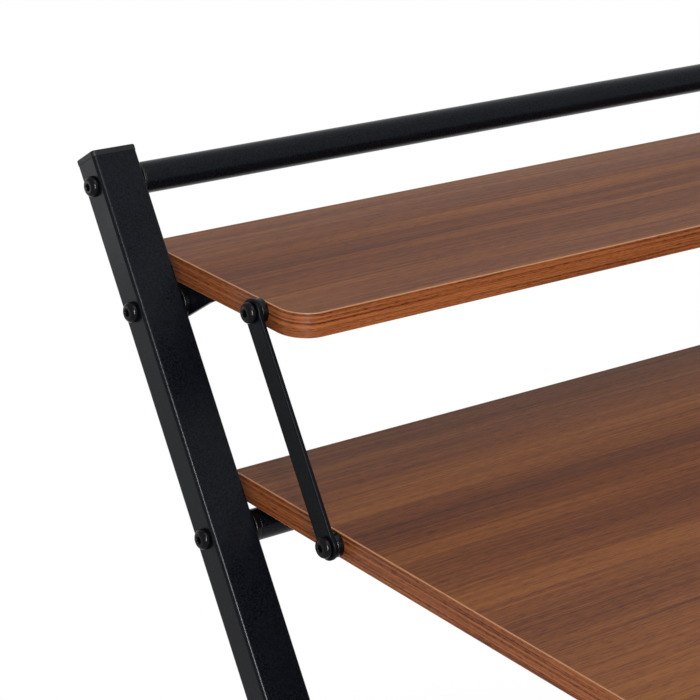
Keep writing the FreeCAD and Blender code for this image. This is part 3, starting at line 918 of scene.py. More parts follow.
# Caps, plugs, spacers and glides: satin black, greyer than the steel.
NYLON = Moulded("moulded nylon", Slot.PLASTIC, "#0D0E10", 0.42, ior=1.53, gloss=0.14)
# Feet: dead matt.
RUBBER = Moulded("moulded rubber", Slot.RUBBER, "#101010", 0.75, ior=1.52, gloss=0.15, pitch=1.0 * MM,
                 depth=0.05 * MM)
# Boards: a quiet warm brown. The two are cut from different places of the same print.
LAMINATE = WalnutMelamine("walnut melamine, desktop board", Slot.LAMINATE, "#633822", 0.42, gloss=0.08,
                          offset=60 * MM)
SHELF_LAMINATE = replace(LAMINATE, name="walnut melamine, shelf board", offset=700 * MM)
# Edges: a shinier, redder line around each board.
BAND = WalnutBand("walnut edge band", Slot.BAND, "#7A4224", 0.34, gloss=0.14)


# Pieces


def mesh_of(name: str, shells: Sequence[Shell], crease: float) -> bpy.types.Mesh:
    """Put surfaces into one mesh, smooth up to a crease angle.

    Args:
        name: Name of the mesh.
        shells: Closed surfaces.
        crease: Angle in radians past which an edge stays sharp.

    Returns:
        The mesh, with a map named edge where the surfaces carry one.
    """
    starts = np.cumsum([0] + [len(shell.points) for shell in shells[:-1]])
    corners, counts, charts = [], [], []
    for shell, start in zip(shells, starts):
        corners += [(shell.quads + start).reshape(-1), *(end + start for end in shell.ends)]
        counts += [np.full(len(shell.quads), 4), *(np.array([len(end)]) for end in shell.ends)]
        if shell.chart is not None:
            charts.append(shell.chart)
    points = np.concatenate([shell.points for shell in shells])
    corners, counts = np.concatenate(corners), np.concatenate(counts)
    mesh = bpy.data.meshes.new(name)
    mesh.vertices.add(len(points))
    mesh.vertices.foreach_set("co", points.astype(np.float32).ravel())
    mesh.loops.add(len(corners))
    mesh.loops.foreach_set("vertex_index", corners.astype(np.int32))
    mesh.polygons.add(len(counts))
    mesh.polygons.foreach_set("loop_start", np.concatenate([[0], np.cumsum(counts)[:-1]]).astype(np.int32))
    if charts:
        layer = mesh.uv_layers.new(name="edge")
        layer.data.foreach_set("uv", np.concatenate(charts).astype(np.float32).ravel())
    mesh.update(calc_edges=True)
    mesh.shade_smooth()
    mesh.set_sharp_from_angle(angle=crease)
    return mesh


def place_piece(name: str, mesh: bpy.types.Mesh, finish: Finish, body: Body,
                stands_for: Sequence[str] = ()) -> bpy.types.Object:
    """Make a piece of a mesh and hang it on its body.

    Args:
        name: Name of the piece.
        mesh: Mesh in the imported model's frame.
        finish: Finish all over.
        body: Body it moves with.
        stands_for: CAD nodes that it takes the place of.

    Returns:
        The new object.
    """
    piece = bpy.data.objects.new(name, mesh)
    bpy.context.scene.collection.objects.link(piece)
    mesh.materials.clear()
    mesh.materials.append(finish.material())
    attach(piece, body.value)
    if stands_for:
        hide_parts(*stands_for)
    LOG.info("%s: %s, on %s", name, finish.name, body.value)
    return piece


def add_piece(name: str, shells: Sequence[Shell], finish: Finish, body: Body, stands_for: Sequence[str] = (),
              crease: float = CREASE) -> bpy.types.Object:
    """Make a piece of closed surfaces, as place_piece does.

    Args:
        name: Name of the piece.
        shells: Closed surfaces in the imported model's frame.
        finish: Finish all over.
        body: Body it moves with.
        stands_for: CAD nodes that it takes the place of.
        crease: Angle in radians past which an edge stays sharp.

    Returns:
        The new object.
    """
    return place_piece(name, mesh_of(name, shells, crease), finish, body, stands_for)


def add_eased_copy(name: str, node: str, arris: float, finish: Finish, body: Body) -> None:
    """Make a piece from a CAD node's own faces, merged, with its sharp edges eased by a bevel.

    Args:
        name: Name of the piece.
        node: CAD node, which the piece takes the place of.
        arris: Width of the bevel.
        finish: Finish all over.
        body: Body it moves with.
    """
    same_point, same_plane = 2e-6, math.radians(0.5)
    source = frame["nodes"][node].data
    points = np.empty(3 * len(source.vertices), np.float32)
    corners = np.empty(len(source.loops), np.int32)
    source.vertices.foreach_get("co", points)
    source.loops.foreach_get("vertex_index", corners)
    mesh = bpy.data.meshes.new(name)
    mesh.from_pydata(points.reshape(-1, 3), [], corners.reshape(-1, 3))
    work = bmesh.new()
    work.from_mesh(mesh)
    bmesh.ops.remove_doubles(work, verts=work.verts, dist=same_point)
    bmesh.ops.dissolve_limit(work, angle_limit=same_plane, verts=work.verts, edges=work.edges)
    work.to_mesh(mesh)
    work.free()
    mesh.shade_smooth()
    mesh.set_sharp_from_angle(angle=CREASE)
    bevel = place_piece(name, mesh, finish, body, (node,)).modifiers.new("eased edges", "BEVEL")
    bevel.width = arris
    bevel.segments = 2
    bevel.limit_method = "ANGLE"
    bevel.angle_limit = CREASE
    bevel.harden_normals = True


# Sub-assemblies


def joint(name: str) -> dict[str, Any]:
    """Return what the frame says of a joint."""
    return next(entry for entry in frame["joints"] if entry["name"] == name)


def joint_place(name: str) -> Pair:
    """Return y and z of a joint's axis."""
    return tuple(joint(name)["pos_m"][1:])


@dataclass(frozen=True)
class Layout:
    """Sizes and places that sub-assemblies share. Those on a post count up it from the desktop's pivot."""

    lean: float = math.radians(34)
    half_panel: float = 400 * MM
    post_inner: float = 404 * MM
    post_outer: float = 434 * MM
    pivot_spacing: float = 138 * MM
    rail_place: float = 215.5 * MM
    support_place: float = -257 * MM
    run: float = 0.3 * MM
    rail_radius: float = 9.5 * MM
    plug: float = 14 * MM
    bush: float = 4 * MM
    spacer: float = 4 * MM
    support_arm: float = 4 * MM
    link_forward: float = 78 * MM
    link_rise: float = 19.5 * MM
    link_flange: float = 4.2 * MM
    link_thickness: float = 3 * MM
    desk_pivot: Pair = joint_place("desktop_fold")
    shelf_pivot: Pair = joint_place("shelf_fold")
    support_pivot: Pair = joint_place("support_fold")
    rear_hinge: Pair = joint_place("rear_legs_fold")
    leg_fold: float = math.radians(joint("rear_legs_fold")["range_deg"][1])

    @property
    def post_width(self) -> float:
        """Width of a post."""
        return self.post_outer - self.post_inner

    @property
    def post_middle(self) -> float:
        """Middle of the right post."""
        return (self.post_inner + self.post_outer) / 2

    @property
    def post(self) -> Place:
        """The post's own frame: zero at the desktop's pivot, Z up the post."""
        return Place(-self.lean, *self.desk_pivot)

    @property
    def leg(self) -> Place:
        """The rear leg's own frame: zero at its hinge, the leg along -Z."""
        return Place(self.leg_fold - self.lean, *self.rear_hinge)

    @property
    def support(self) -> Place:
        """The support frame's own frame: zero at its pivot, the arms along +Z."""
        return Place(self.lean, *self.support_pivot)

    @property
    def bush_face(self) -> float:
        """Outer face of the bushings beside the right post."""
        return self.post_inner - self.run


LAYOUT = Layout()


@dataclass(frozen=True)
class TubeEnds:
    """A rectangular tube with the cap and the foot on its ends, in the tube's own frame."""

    width: float
    depth: float
    corner: float = 2.2 * MM
    cut: float = 0.15 * MM      # rounding of the cut ends
    proud: float = 0.25 * MM    # how far the cap's head stands out beside the tube
    cap: float = 3.5 * MM
    arris: float = 0.9 * MM
    seam: float = 9             # how many times the rounding under the head is flattened
    wall: float = 2.5 * MM
    height: float = 34 * MM
    foot_arris: float = 0.8 * MM

    def outline(self, grown: float = 0.0) -> RoundedRectangle:
        """Return the tube's outline, moved outwards."""
        return RoundedRectangle.centred(self.width + 2 * grown, self.depth + 2 * grown, self.corner + grown)

    def tube(self, low: float, high: float) -> Shell:
        """Return the tube between two heights of its own frame."""
        return slab(self.outline(), eased_rim(low, high, self.cut))

    def cap_head(self, end: float) -> Shell:
        """Cap's head, with a fine seam under it instead of a full rounding.

        Args:
            end: Height of the tube's end.

        Returns:
            The closed surface.
        """
        steps = 6
        rim = eased_rim(end, end + self.cap, self.arris, steps)
        rim[:steps, 0] = np.maximum(rim[:steps, 0] - self.arris + FINE, 0.0)
        rim[1:steps, 1] = end + (rim[1:steps, 1] - end) / self.seam
        return slab(self.outline(self.proud), rim)

    def foot(self, place: Place) -> Shell:
        """Sheath foot that stands flat on the floor.

        Its rows are the outline at a rim's inset. The lower rows run down the tube's axis until they reach
        the rim's height above the floor, and the upper ones lie at the rim's height along the axis.

        Args:
            place: Frame of the leaning tube.

        Returns:
            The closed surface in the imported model's frame.
        """
        rim = eased_rim(0.0, self.height, self.foot_arris)
        grid = stacked(self.outline(self.wall), rim)
        half = len(rim) // 2
        above = grid[:half, :, 2] - place.z - grid[:half, :, 1] * math.sin(place.angle)
        grid[:half, :, 2] = above / math.cos(place.angle)
        grid[half:, :, 2] += place.floor
        return woven(grid).carried(place)


@dataclass
class Assembly:
    """Base of the sub-assemblies, whose pieces ride on one body."""

    body: Body

    def whole(self, name: str, shells: Sequence[Shell], place: Place, finish: Finish, *nodes: str) -> None:
        """Make a piece of surfaces at a place."""
        add_piece(name, [shell.carried(place) for shell in shells], finish, self.body, nodes)

    def pair(self, name: str, shells: Sequence[Shell], place: Place, finish: Finish, *nodes: str) -> None:
        """Make one piece of right-hand surfaces at a place and their mirror images."""
        self.whole(name, both_sides(shells), place, finish, *nodes)

    def sided(self, side: Side, name: str, node: str, shell: Shell, finish: Finish) -> None:
        """Make one side's piece from the right-hand surface, its names led by the side's."""
        add_piece(f"{side.value}_{name}", [side.of(shell)], finish, self.body, (f"{side.value}_{node}",))

    def eased(self, name: str, node: str, arris: float, finish: Finish) -> None:
        """Make eased copies of a left and a right CAD node, their names led by the side's."""
        for side in (Side.LEFT, Side.RIGHT):
            add_eased_copy(f"{side.value}_{name}", f"{side.value}_{node}", arris, finish, self.body)

    def bolts(self, name: str, node: str, head: float, length: float, place: Place) -> None:
        """Make a bolt of a length whose head sits at a place along X, and its mirror image."""
        self.pair(name, [ButtonBolt().shell(length).moved(x=head)], place, BOLT, node)

    def bolts_and_nuts(self, name: str, node: str, head: float, grip: float, place: Place) -> None:
        """Make bolts as bolts does, and their nuts.

        Args:
            name: Start of the pieces' names.
            node: Start of the names of the CAD nodes that they take the place of.
            head: Place of the right bolt's under-head face along X.
            grip: Distance between that face and the nut.
            place: Frame whose X axis is the bolts' axis.
        """
        nut = LockNut()
        self.bolts(f"{name}_bolts", f"{node}_bolts", head, grip + nut.height + ButtonBolt.tip, place)
        self.pair(f"{name}_nuts", [nut.shell().moved(x=head - grip)], place, ZINC, f"{node}_nuts")

    def screws(self, name: str, spots: Sequence[Pair], seat: float, place: Place) -> None:
        """Make wood screws at places x, y with their heads pointing down from a seat's height."""
        screw = WoodScrew().shell().moved(z=seat)
        self.pair(name, [screw.moved(x=x, y=y) for x, y in spots], place, ZINC)

    def stretcher(self, name: str, node: str, half: float, weld: float, place: Place) -> None:
        """Make a cross tube with a weld bead at each end.

        Args:
            name: Name of the piece.
            node: CAD node that it takes the place of.
            half: Half its length.
            weld: Radius of the beads.
            place: Frame whose X axis is the tube's axis.
        """
        inward = 0.6 * MM
        tube = barrel(-half, half, LAYOUT.rail_radius, FINE)
        beads = both_sides([weld_ring(half - inward, LAYOUT.rail_radius, weld)])
        self.whole(name, [tube, *beads], place, STEEL, node)


@dataclass
class PostFrame(Assembly):
    """Two leaning posts with the top rail, the front stretcher and the rear legs' brackets."""

    body: Body = Body.POSTS
    depth: float = 20 * MM
    top: float = 231 * MM
    tube_lift: float = 15 * MM
    rail_flange: float = 1.5 * MM
    flange_proud: float = 0.25 * MM
    flange_arris: float = 0.4 * MM
    stretcher_rise: float = 160 * MM
    weld: float = 1.6 * MM
    spacer_arris: float = 0.5 * MM
    plate: float = 2.5 * MM
    plate_arris: float = 0.4 * MM
    bracket_gap: float = 10.7 * MM

    def build(self) -> None:
        """Make every piece of the post frame."""
        self.posts()
        self.rail()
        place = LAYOUT.post.ahead(0.0, self.stretcher_rise + LAYOUT.post.floor)
        self.stretcher("front_stretcher_tube", "front_stretcher", LAYOUT.post_inner, self.weld, place)
        self.hinges()
        self.support_bolts()

    def posts(self) -> None:
        """Make the posts with caps and feet."""
        place, middle = LAYOUT.post, LAYOUT.post_middle
        ends = TubeEnds(LAYOUT.post_width, self.depth)
        tube = ends.tube(place.floor + self.tube_lift, self.top).moved(x=middle).carried(place)
        cap = ends.cap_head(self.top).moved(x=middle).carried(place)
        foot = ends.foot(place).moved(x=middle)
        for side in Side:
            self.sided(side, "post_tube", "post", tube, STEEL)
            self.sided(side, "post_end_cap", "post_cap", cap, NYLON)
            self.sided(side, "post_shoe", "post_foot", foot, RUBBER)

    def rail(self) -> None:
        """Make the top rail, its flanged plugs and its bolts."""
        place = LAYOUT.post.ahead(0.0, LAYOUT.rail_place)
        inner = LAYOUT.post_inner - self.rail_flange
        radius = LAYOUT.rail_radius
        tube = barrel(-inner, inner, radius, TUBE_ARRIS)
        flange = barrel(inner, LAYOUT.post_inner, radius + self.flange_proud, self.flange_arris)
        length = LAYOUT.post_width + self.rail_flange + LAYOUT.plug
        self.whole("rail_tube", [tube], place, STEEL, "top_rail")
        self.pair("rail_end_plugs", [flange], place, NYLON, "top_rail_plugs")
        self.bolts("rail_bolts", "top_rail_bolts", LAYOUT.post_outer, length, place)

    def hinges(self) -> None:
        """Make the rear brackets with their bolts and nuts."""
        outer = self.bracket_gap + self.plate
        place = Place(LAYOUT.post.angle, *LAYOUT.rear_hinge)
        self.eased("hinge_bracket", "rear_bracket", self.plate_arris, STEEL)
        self.bolts_and_nuts("hinge", "rear_hinge", LAYOUT.post_middle + outer, 2 * outer, place)

    def support_bolts(self) -> None:
        """Make the bolts, spacers and nuts that carry the support frame."""
        place = LAYOUT.post.ahead(0.0, LAYOUT.support_place)
        inner = LAYOUT.post_inner
        grip = LAYOUT.post_width + LAYOUT.spacer + LAYOUT.support_arm + 2 * LAYOUT.run
        spacer = barrel(inner - LAYOUT.spacer, inner, LAYOUT.rail_radius, self.spacer_arris)
        self.pair("support_spacers", [spacer], place, NYLON, "support_pivot_spacers")
        self.bolts_and_nuts("support", "support_pivot", LAYOUT.post_outer, grip, place)


@dataclass
class Panel(Assembly):
    """A laminated board with an edge band and its link hardware, in the frame of its pivot."""

    name: str
    laminate: Finish
    pivot: Pair
    rear: float                 # how far it reaches behind the pivot
    front: float                # and before it
    drop: float                 # height of its underside above the pivot
    thickness: float = 15 * MM
    corner: float = 18 * MM
    rear_corner: float = 0.8 * MM
    band: float = 1.0 * MM
    arris: float = 0.45 * MM
    sink: float = 0.03 * MM     # how far the board's upper face lies under the band's
    ledge: float = 1.5 * MM     # first strip of the board's faces inside the band
    skin: float = 0.02 * MM     # how far the band's flat faces stop short of the board
    flange_radius: float = 7.3 * MM
    flange_arris: float = 0.6 * MM
    flange_seat: float = 0.2 * MM
    insert_depth: float = 15 * MM
    insert_radius: float = 4.5 * MM
    insert_bore: float = 3 * MM

    def outline(self) -> RoundedRectangle:
        """Return the panel's outline with round front corners and nearly square rear ones."""
        radii = (self.corner, self.rear_corner, self.rear_corner, self.corner)
        return RoundedRectangle((-LAYOUT.half_panel, -self.front), (LAYOUT.half_panel, self.rear), radii, 16)

    def board(self) -> Shell:
        """Return the board inside its edge band."""
        low, high, flat = self.drop, self.drop + self.thickness - self.sink, self.band + self.ledge
        rim = np.array([[flat, low], [self.band, low], [self.band, high], [flat, high]])
        return slab(self.outline(), rim)

    def edge(self) -> tuple[Shell, np.ndarray]:
        """Edge band: a profile with two rounded outer corners carried round the outline.

        Returns:
            The closed surface with its map, the first coordinate along the edge and the second along the
            profile, and a mask that is 1 on the rounded arrises, where the band is lightened to its bared core
            and a painted highlight.
        """
        rim = eased_rim(self.drop, self.drop + self.thickness, self.arris, 5)
        flat = self.band - self.skin
        rim[0, 0] = rim[-1, 0] = flat
        grid = stacked(self.outline(), rim)
        rows, columns = grid.shape[:2]
        outer = self.outline().inset(0.0)
        steps = np.linalg.norm(np.roll(outer, -1, axis=0) - outer, axis=1)
        along = np.concatenate([[0.0], np.cumsum(steps)])
        across = np.concatenate([[0.0], np.cumsum(np.linalg.norm(np.diff(rim, axis=0), axis=1)), [0.0]])
        i, j = np.indices((rows, columns))
        chart = np.stack([np.stack([along[j + right], across[i + up]], -1)
                          for right, up in ((0, 0), (1, 0), (1, 1), (0, 1))], -2)
        shell = Shell(grid.reshape(-1, 3), grid_quads(rows, columns, True), [], chart.reshape(-1, 2))
        # 1 on the rounded arrises, lightened to the band's bared core and a painted highlight
        trimmed = ((rim[:, 0] > self.skin) & (rim[:, 0] < flat)).astype(np.float32)
        return shell.outward(), np.repeat(trimmed, columns)

    def build(self) -> None:
        """Make the board, its band, its link inserts and its link bolts."""
        place = Place(0.0, *self.pivot)
        self.whole(f"{self.name}_board", [self.board()], place, self.laminate, f"{self.name}_panel")
        shell, trimmed = self.edge()
        band = add_piece(f"{self.name}_banding", [shell.carried(place)], BAND, self.body,
                         (f"{self.name}_edge_band",), math.radians(50))
        # mask by which the band's finish lightens its arrises: bared core and a painted highlight
        band.data.attributes.new("trimmed", "FLOAT", "POINT").data.foreach_set("value", trimmed)
        hardware = place.ahead(-LAYOUT.link_forward, LAYOUT.link_rise)
        side = LAYOUT.half_panel
        end, seat, depth = side + LAYOUT.link_flange, self.flange_seat, side - self.insert_depth
        radius, arris = self.flange_radius, self.flange_arris
        flange = lathed([(depth, self.insert_bore), (depth, self.insert_radius),
                         (side - seat, self.insert_radius), (side - seat, radius - arris / 2),
                         (side + seat, radius), (end - arris - FINE, radius),
                         *quarter_in(end - arris, radius, arris, -arris), (end, radius - arris - EASE)])
        grip = LAYOUT.link_flange + LAYOUT.link_thickness + 2 * LAYOUT.run
        self.pair(f"{self.name}_link_collars", [flange], hardware, BUSH, f"{self.name}_link_inserts")
        self.bolts(f"{self.name}_link_screws", f"{self.name}_link_bolts", side + grip,
                   grip + self.insert_depth, hardware)


@dataclass
class Desktop(Assembly):
    """The desktop with its pivot tube, mounting plates and glides."""

    body: Body = Body.DESKTOP
    rear: float = 20.5 * MM
    depth: float = 550 * MM
    plate: float = 3 * MM
    plate_width: float = 60 * MM
    plate_depth: float = 44 * MM
    plate_corner: float = 5 * MM
    plate_arris: float = 0.4 * MM
    plate_places: Pair = (120 * MM, 350 * MM)
    screw_spread: Pair = (21 * MM, 15 * MM)
    weld: float = 2.2 * MM
    weld_margin: float = 6 * MM
    weld_side: float = 5.5 * MM
    weld_drop: float = 1.2 * MM
    plug_proud: float = 0.2 * MM
    plug_arris: float = 0.7 * MM
    glide_arris: float = 0.5 * MM
    glide_place: float = 300 * MM
    glide_seat: float = 8.3 * MM
    glide_margins: Pair = (25 * MM, 75 * MM)

    @property
    def drop(self) -> float:
        """Underside of the desktop above its pivot."""
        return self.plate + LAYOUT.rail_radius

    def build(self) -> None:
        """Make every piece of the desktop."""
        Panel(self.body, "desktop", LAMINATE, LAYOUT.desk_pivot, self.rear, self.depth - self.rear,
              self.drop).build()
        self.tube()
        self.pivots()
        self.glides()

    def tube(self) -> None:
        """Make the pivot tube with its welded plates and their wood screws."""
        place = Place(0.0, *LAYOUT.desk_pivot)
        end = LAYOUT.bush_face - LAYOUT.bush
        radius = LAYOUT.rail_radius
        outline = RoundedRectangle.centred(self.plate_width, self.plate_depth, self.plate_corner)
        plate = slab(outline, eased_rim(radius, self.drop, self.plate_arris))
        bead = weld_line(self.plate_width / 2 - self.weld_margin, self.weld).moved(z=radius - self.weld_drop)
        beads = [bead.moved(y=side * self.weld_side) for side in (-1, 1)]
        welded = both_sides([shell.moved(x=x) for x in self.plate_places for shell in (plate, *beads)])
        tube = barrel(-end, end, radius, TUBE_ARRIS)
        self.whole("pivot_tube", [tube, *welded], place, STEEL, "desktop_pivot_tube")
        dx, dy = self.screw_spread
        spots = [(x + sx * dx, sy * dy) for x in self.plate_places for sx in (-1, 1) for sy in (-1, 1)]
        self.screws("plate_screws", spots, radius, place)

    def pivots(self) -> None:
        """Make the flanged end plugs and the pivot bolts."""
        place = Place(0.0, *LAYOUT.desk_pivot)
        face = LAYOUT.bush_face
        plug = barrel(face - LAYOUT.bush, face, LAYOUT.rail_radius + self.plug_proud, self.plug_arris)
        length = LAYOUT.post_width + 2 * LAYOUT.run + LAYOUT.bush + LAYOUT.plug
        self.pair("tube_end_plugs", [plug], place, BUSH, "desktop_tube_plugs")
        self.bolts("desk_pivot_bolts", "desktop_pivot_bolts", LAYOUT.post_outer + LAYOUT.run, length, place)

    def glides(self) -> None:
        """Make the glides with their wood screws."""
        self.eased("glide_rail", "glide", self.glide_arris, NYLON)
        low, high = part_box("right_glide")
        front, rear = self.glide_margins
        spots = [(self.glide_place, y) for y in np.linspace(low.y + front, high.y - rear, 3)]
        self.screws("glide_screws", spots, LAYOUT.desk_pivot[1] + self.glide_seat, Place())


@dataclass
class Shelf(Assembly):
    """The shelf with its brackets, pivot bushings and bolts."""

    body: Body = Body.SHELF
    rear: float = 38 * MM
    depth: float = 150 * MM
    drop: float = 11 * MM
    bush_arris: float = 0.7 * MM
    plate: float = 2.5 * MM
    plate_arris: float = 0.35 * MM
    screw_inward: float = 20 * MM
    screw_places: Pair = (-18 * MM, 9 * MM)

    def build(self) -> None:
        """Make every piece of the shelf."""
        Panel(self.body, "shelf", SHELF_LAMINATE, LAYOUT.shelf_pivot, self.rear, self.depth - self.rear,
              self.drop).build()
        place = Place(0.0, *LAYOUT.shelf_pivot)
        face = LAYOUT.bush_face
        self.eased("shelf_ear", "shelf_bracket", self.plate_arris, STEEL)
        bush = barrel(face - LAYOUT.bush, face, LAYOUT.rail_radius, self.bush_arris)
        grip = LAYOUT.post_width + 2 * LAYOUT.run + LAYOUT.bush + self.plate
        spots = [(face - LAYOUT.bush - self.screw_inward, y) for y in self.screw_places]
        self.pair("shelf_bushes", [bush], place, BUSH, "shelf_pivot_bushings")
        self.bolts_and_nuts("shelf", "shelf_pivot", LAYOUT.post_outer + LAYOUT.run, grip, place)
        self.screws("shelf_screws", spots, self.drop - self.plate, place)


@dataclass
class Links:
    """Flat links that keep the shelf parallel to the desktop."""

    width: float = 14 * MM
    eye: float = 8 * MM
    arris: float = 0.8 * MM

    def build(self) -> None:
        """Make both links."""
        inner = LAYOUT.half_panel + LAYOUT.link_flange + LAYOUT.run
        rim = eased_rim(inner, inner + LAYOUT.link_thickness, self.arris, 5)
        upright = slab(Bar(LAYOUT.pivot_spacing, self.width / 2, self.eye), rim).across().outward()
        y, z = LAYOUT.desk_pivot
        bar = upright.carried(Place(-LAYOUT.lean, y - LAYOUT.link_forward, z + LAYOUT.link_rise))
        for side, body in ((Side.RIGHT, Body.RIGHT_LINK), (Side.LEFT, Body.LEFT_LINK)):
            add_piece(f"{side.value}_link_bar", [side.of(bar)], LINK_STEEL, body, (f"{side.value}_link",))


@dataclass
class SupportFrame(Assembly):
    """Two flat arms with a round tube welded through their upper ends."""

    body: Body = Body.SUPPORT
    width: float = 20 * MM
    radius: float = 8 * MM
    arris: float = 0.8 * MM
    weld: float = 1.5 * MM
    weld_inward: float = 0.5 * MM

    def build(self) -> None:
        """Make the arms, the cross tube and the weld beads as one piece."""
        length = -LAYOUT.support_place
        face = LAYOUT.post_inner - LAYOUT.spacer - LAYOUT.run
        inner = face - LAYOUT.support_arm
        bar = slab(Bar(length, self.width / 2, self.width / 2), eased_rim(inner, face, self.arris))
        tube = barrel(-face, face, self.radius, TUBE_ARRIS).moved(z=length)
        bead = weld_ring(inner - self.weld_inward, self.radius, self.weld).moved(z=length)
        shells = [tube, *both_sides([bar.across().outward(), bead])]
        self.whole("support_arms", shells, LAYOUT.support, STEEL, "support_frame")


@dataclass
class RearLegs(Assembly):
    """Two square-tube legs joined by a stretcher."""

    body: Body = Body.LEGS
    side: float = 20 * MM
    head: float = 7 * MM
    tube_lift: float = 12 * MM
    stretcher_rise: float = 125 * MM
    weld: float = 1.5 * MM

    def build(self) -> None:
        """Make every piece of the rear legs."""
        place, middle = LAYOUT.leg, LAYOUT.post_middle
        ends = TubeEnds(self.side, self.side)
        tube = ends.tube(place.floor + self.tube_lift, self.head).moved(x=middle).carried(place)
        foot = ends.foot(place).moved(x=middle)
        for side in Side:
            self.sided(side, "leg_tube", "rear_leg", tube, STEEL)
            self.sided(side, "leg_shoe", "rear_foot", foot, RUBBER)
        self.pair("leg_end_caps", [ends.cap_head(self.head).moved(x=middle)], place, NYLON, "rear_leg_caps")
        self.stretcher("leg_stretcher", "rear_stretcher", middle - self.side / 2, self.weld,
                       place.ahead(0.0, self.stretcher_rise + place.floor))


# Studio


@dataclass(frozen=True)
class Lamp:
    """Upright soft light at a place, facing a target, its size in metres and its power in watts."""

    name: str
    place: Triple
    target: Triple
    width: float
    height: float
    power: float
    lights: bool = True         # otherwise it gives highlights only

    def build(self) -> None:
        """Make the lamp, which no view shows."""
        data = bpy.data.lights.new(self.name, "AREA")
        data.shape, data.size, data.size_y, data.energy = "RECTANGLE", self.width, self.height, self.power
        lamp = bpy.data.objects.new(self.name, data)
        lamp.rotation_euler = (Vector(self.target) - Vector(self.place)).to_track_quat("-Z", "Y").to_euler()
        lamp.location = self.place
        lamp.visible_camera = False
        lamp.visible_diffuse = self.lights
        bpy.context.scene.collection.objects.link(lamp)


def seen(tree: Tree) -> Socket:
    """Tell the rays that show a surface from those that light one.

    Args:
        tree: Node tree.

    Returns:
        1 for camera, glossy and transmission rays, and 0 for the others.
    """
    path = add_node(tree, "ShaderNodeLightPath").outputs
    shown = path["Is Camera Ray"]
    for name in ("Is Glossy Ray", "Is Transmission Ray"):
        both = add_node(tree, "ShaderNodeMath", {"operation": "MAXIMUM"}, {0: shown, 1: path[name]})
        shown = both.outputs[0]
    return shown


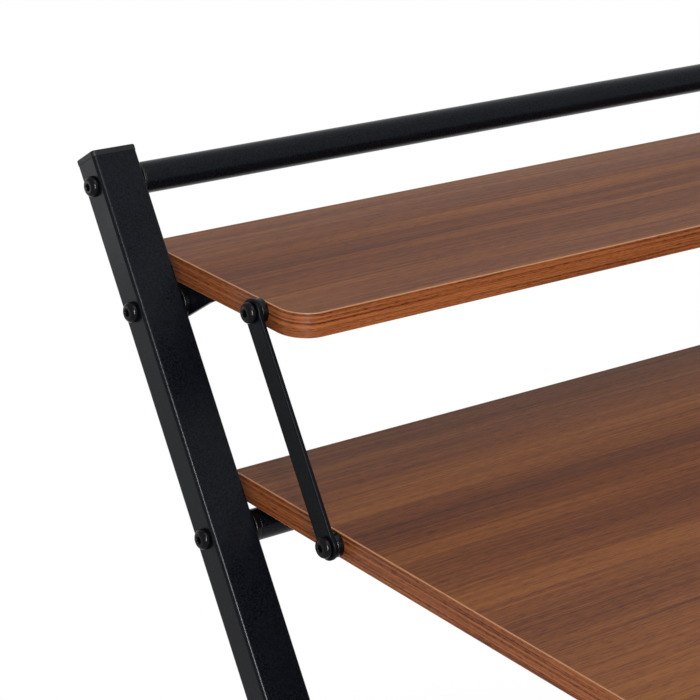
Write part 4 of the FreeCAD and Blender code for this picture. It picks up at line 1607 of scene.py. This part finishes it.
@dataclass
class Studio:
    """Plain pale floor, soft lights, world and camera. The lens and sensor are in millimetres."""

    camera_place: Triple = (-1.20705, -0.86815, 1.34178)
    yaw: float = math.radians(39.45)
    pitch: float = math.radians(21.195)
    roll: float = math.radians(2.948)
    lens: float = 129.80
    sensor: float = 36.0
    sight: float = 50.0
    ambient: float = 0.45
    floor_radius: float = 12.0
    floor_drop: float = 0.3 * MM
    shade: Pair = (0.7, 1.1)    # where the floor's shadow starts to fade, and where it has gone
    glow: float = 0.82          # share of plain white where the shadow is deepest
    lamps: tuple[Lamp, ...] = (
        Lamp("key", (-1.5, -2.2, 2.0), (-0.1, 0.1, 0.7), 0.25, 1.5, 36.0),
        Lamp("top", (-0.2, -0.8, 3.0), (0.0, 0.0, 0.6), 1.6, 1.6, 30.0),
        Lamp("low", (-1.6, 2.1, 0.45), (-0.43, 0.2, 0.75), 0.7, 0.7, 3.0),
        Lamp("front", (-1.5, -1.3, 0.6), (-0.43, 0.0, 0.75), 0.2, 0.5, 1.2),
        Lamp("glint", (-1.5, -2.2, 1.7), (-0.1, 0.1, 0.7), 0.25, 2.1, 240.0, lights=False))

    def build(self) -> None:
        """Make the camera, the floor, the world and the lights."""
        self.camera()
        self.floor()
        self.world()
        for lamp in self.lamps:
            lamp.build()

    def camera(self) -> None:
        """Make the camera: its axis turns by the yaw and dips by the pitch, and the view rolls about it."""
        yaw, pitch, roll = self.yaw, self.pitch, self.roll
        forward = [math.sin(yaw) * math.cos(pitch), math.cos(yaw) * math.cos(pitch), -math.sin(pitch)]
        level = np.array([math.cos(yaw), -math.sin(yaw), 0.0])
        upright = np.cross(level, forward)
        right = level * math.cos(roll) + upright * math.sin(roll)
        up = upright * math.cos(roll) - level * math.sin(roll)
        matrix = np.eye(4)
        matrix[:3] = np.column_stack([right, up, -np.array(forward), self.camera_place])
        data = bpy.data.cameras.new("camera")
        data.lens, data.sensor_width, data.clip_end = self.lens, self.sensor, self.sight
        camera = bpy.data.objects.new("camera", data)
        camera.matrix_world = Matrix(matrix.tolist())
        bpy.context.scene.collection.objects.link(camera)
        bpy.context.scene.camera = camera

    def floor(self) -> None:
        """Make a round white floor that keeps a faint shadow near the desk."""
        turn = np.linspace(0.0, 2 * math.pi, ROUND, endpoint=False)
        disc = np.stack([self.floor_radius * np.cos(turn), self.floor_radius * np.sin(turn),
                         np.full(ROUND, -self.floor_drop)], axis=1)
        mesh = bpy.data.meshes.new("floor")
        mesh.from_pydata(disc, [], [range(ROUND)])
        material = bpy.data.materials.new("white studio floor")
        tree = blank_tree(material)
        matt = add_node(tree, "ShaderNodeBsdfDiffuse", {"Color": linear("#F6F6F6")})
        glow = add_node(tree, "ShaderNodeEmission", {"Color": linear("#FFFFFF"), "Strength": 1.0})
        place = add_node(tree, "ShaderNodeTexCoord").outputs["Object"]
        away = add_node(tree, "ShaderNodeVectorMath", {"operation": "LENGTH"}, {0: place}).outputs["Value"]
        near, far = self.shade
        clear = add_node(tree, "ShaderNodeMapRange",
                         {"interpolation_type": "SMOOTHSTEP", "From Min": near, "From Max": far,
                          "To Min": self.glow, "To Max": 1.0}, {"Value": away}).outputs["Result"]
        share = add_node(tree, "ShaderNodeMath", {"operation": "MULTIPLY"}, {0: seen(tree), 1: clear})
        mix = add_node(tree, "ShaderNodeMixShader",
                       links={0: share.outputs[0], 1: matt.outputs[0], 2: glow.outputs[0]})
        add_node(tree, "ShaderNodeOutputMaterial", links={"Surface": mix.outputs[0]})
        mesh.materials.append(material)
        floor = bpy.data.objects.new("floor", mesh)
        bpy.context.scene.collection.objects.link(floor)

    def world(self) -> None:
        """Make a world that is white where it is seen and a plain level of light where it lights."""
        world = bpy.data.worlds.new("studio")
        tree = blank_tree(world)
        level = add_node(tree, "ShaderNodeMapRange", {"To Min": self.ambient, "To Max": 1.0},
                         {"Value": seen(tree)}).outputs["Result"]
        sky = add_node(tree, "ShaderNodeBackground", {"Color": linear("#FFFFFF")}, {"Strength": level})
        add_node(tree, "ShaderNodeOutputWorld", links={"Surface": sky.outputs[0]})
        bpy.context.scene.world = world


def main() -> None:
    """Build the desk sub-assembly by sub-assembly."""
    logging.basicConfig(level=logging.INFO, format="%(name)s: %(message)s")
    bpy.context.scene.view_settings.view_transform = "Standard"
    for part in (Studio(), PostFrame(), Desktop(), Shelf(), Links(), SupportFrame(), RearLegs()):
        LOG.info("%s", type(part).__name__)
        part.build()


if __name__ == "__main__":
    main()
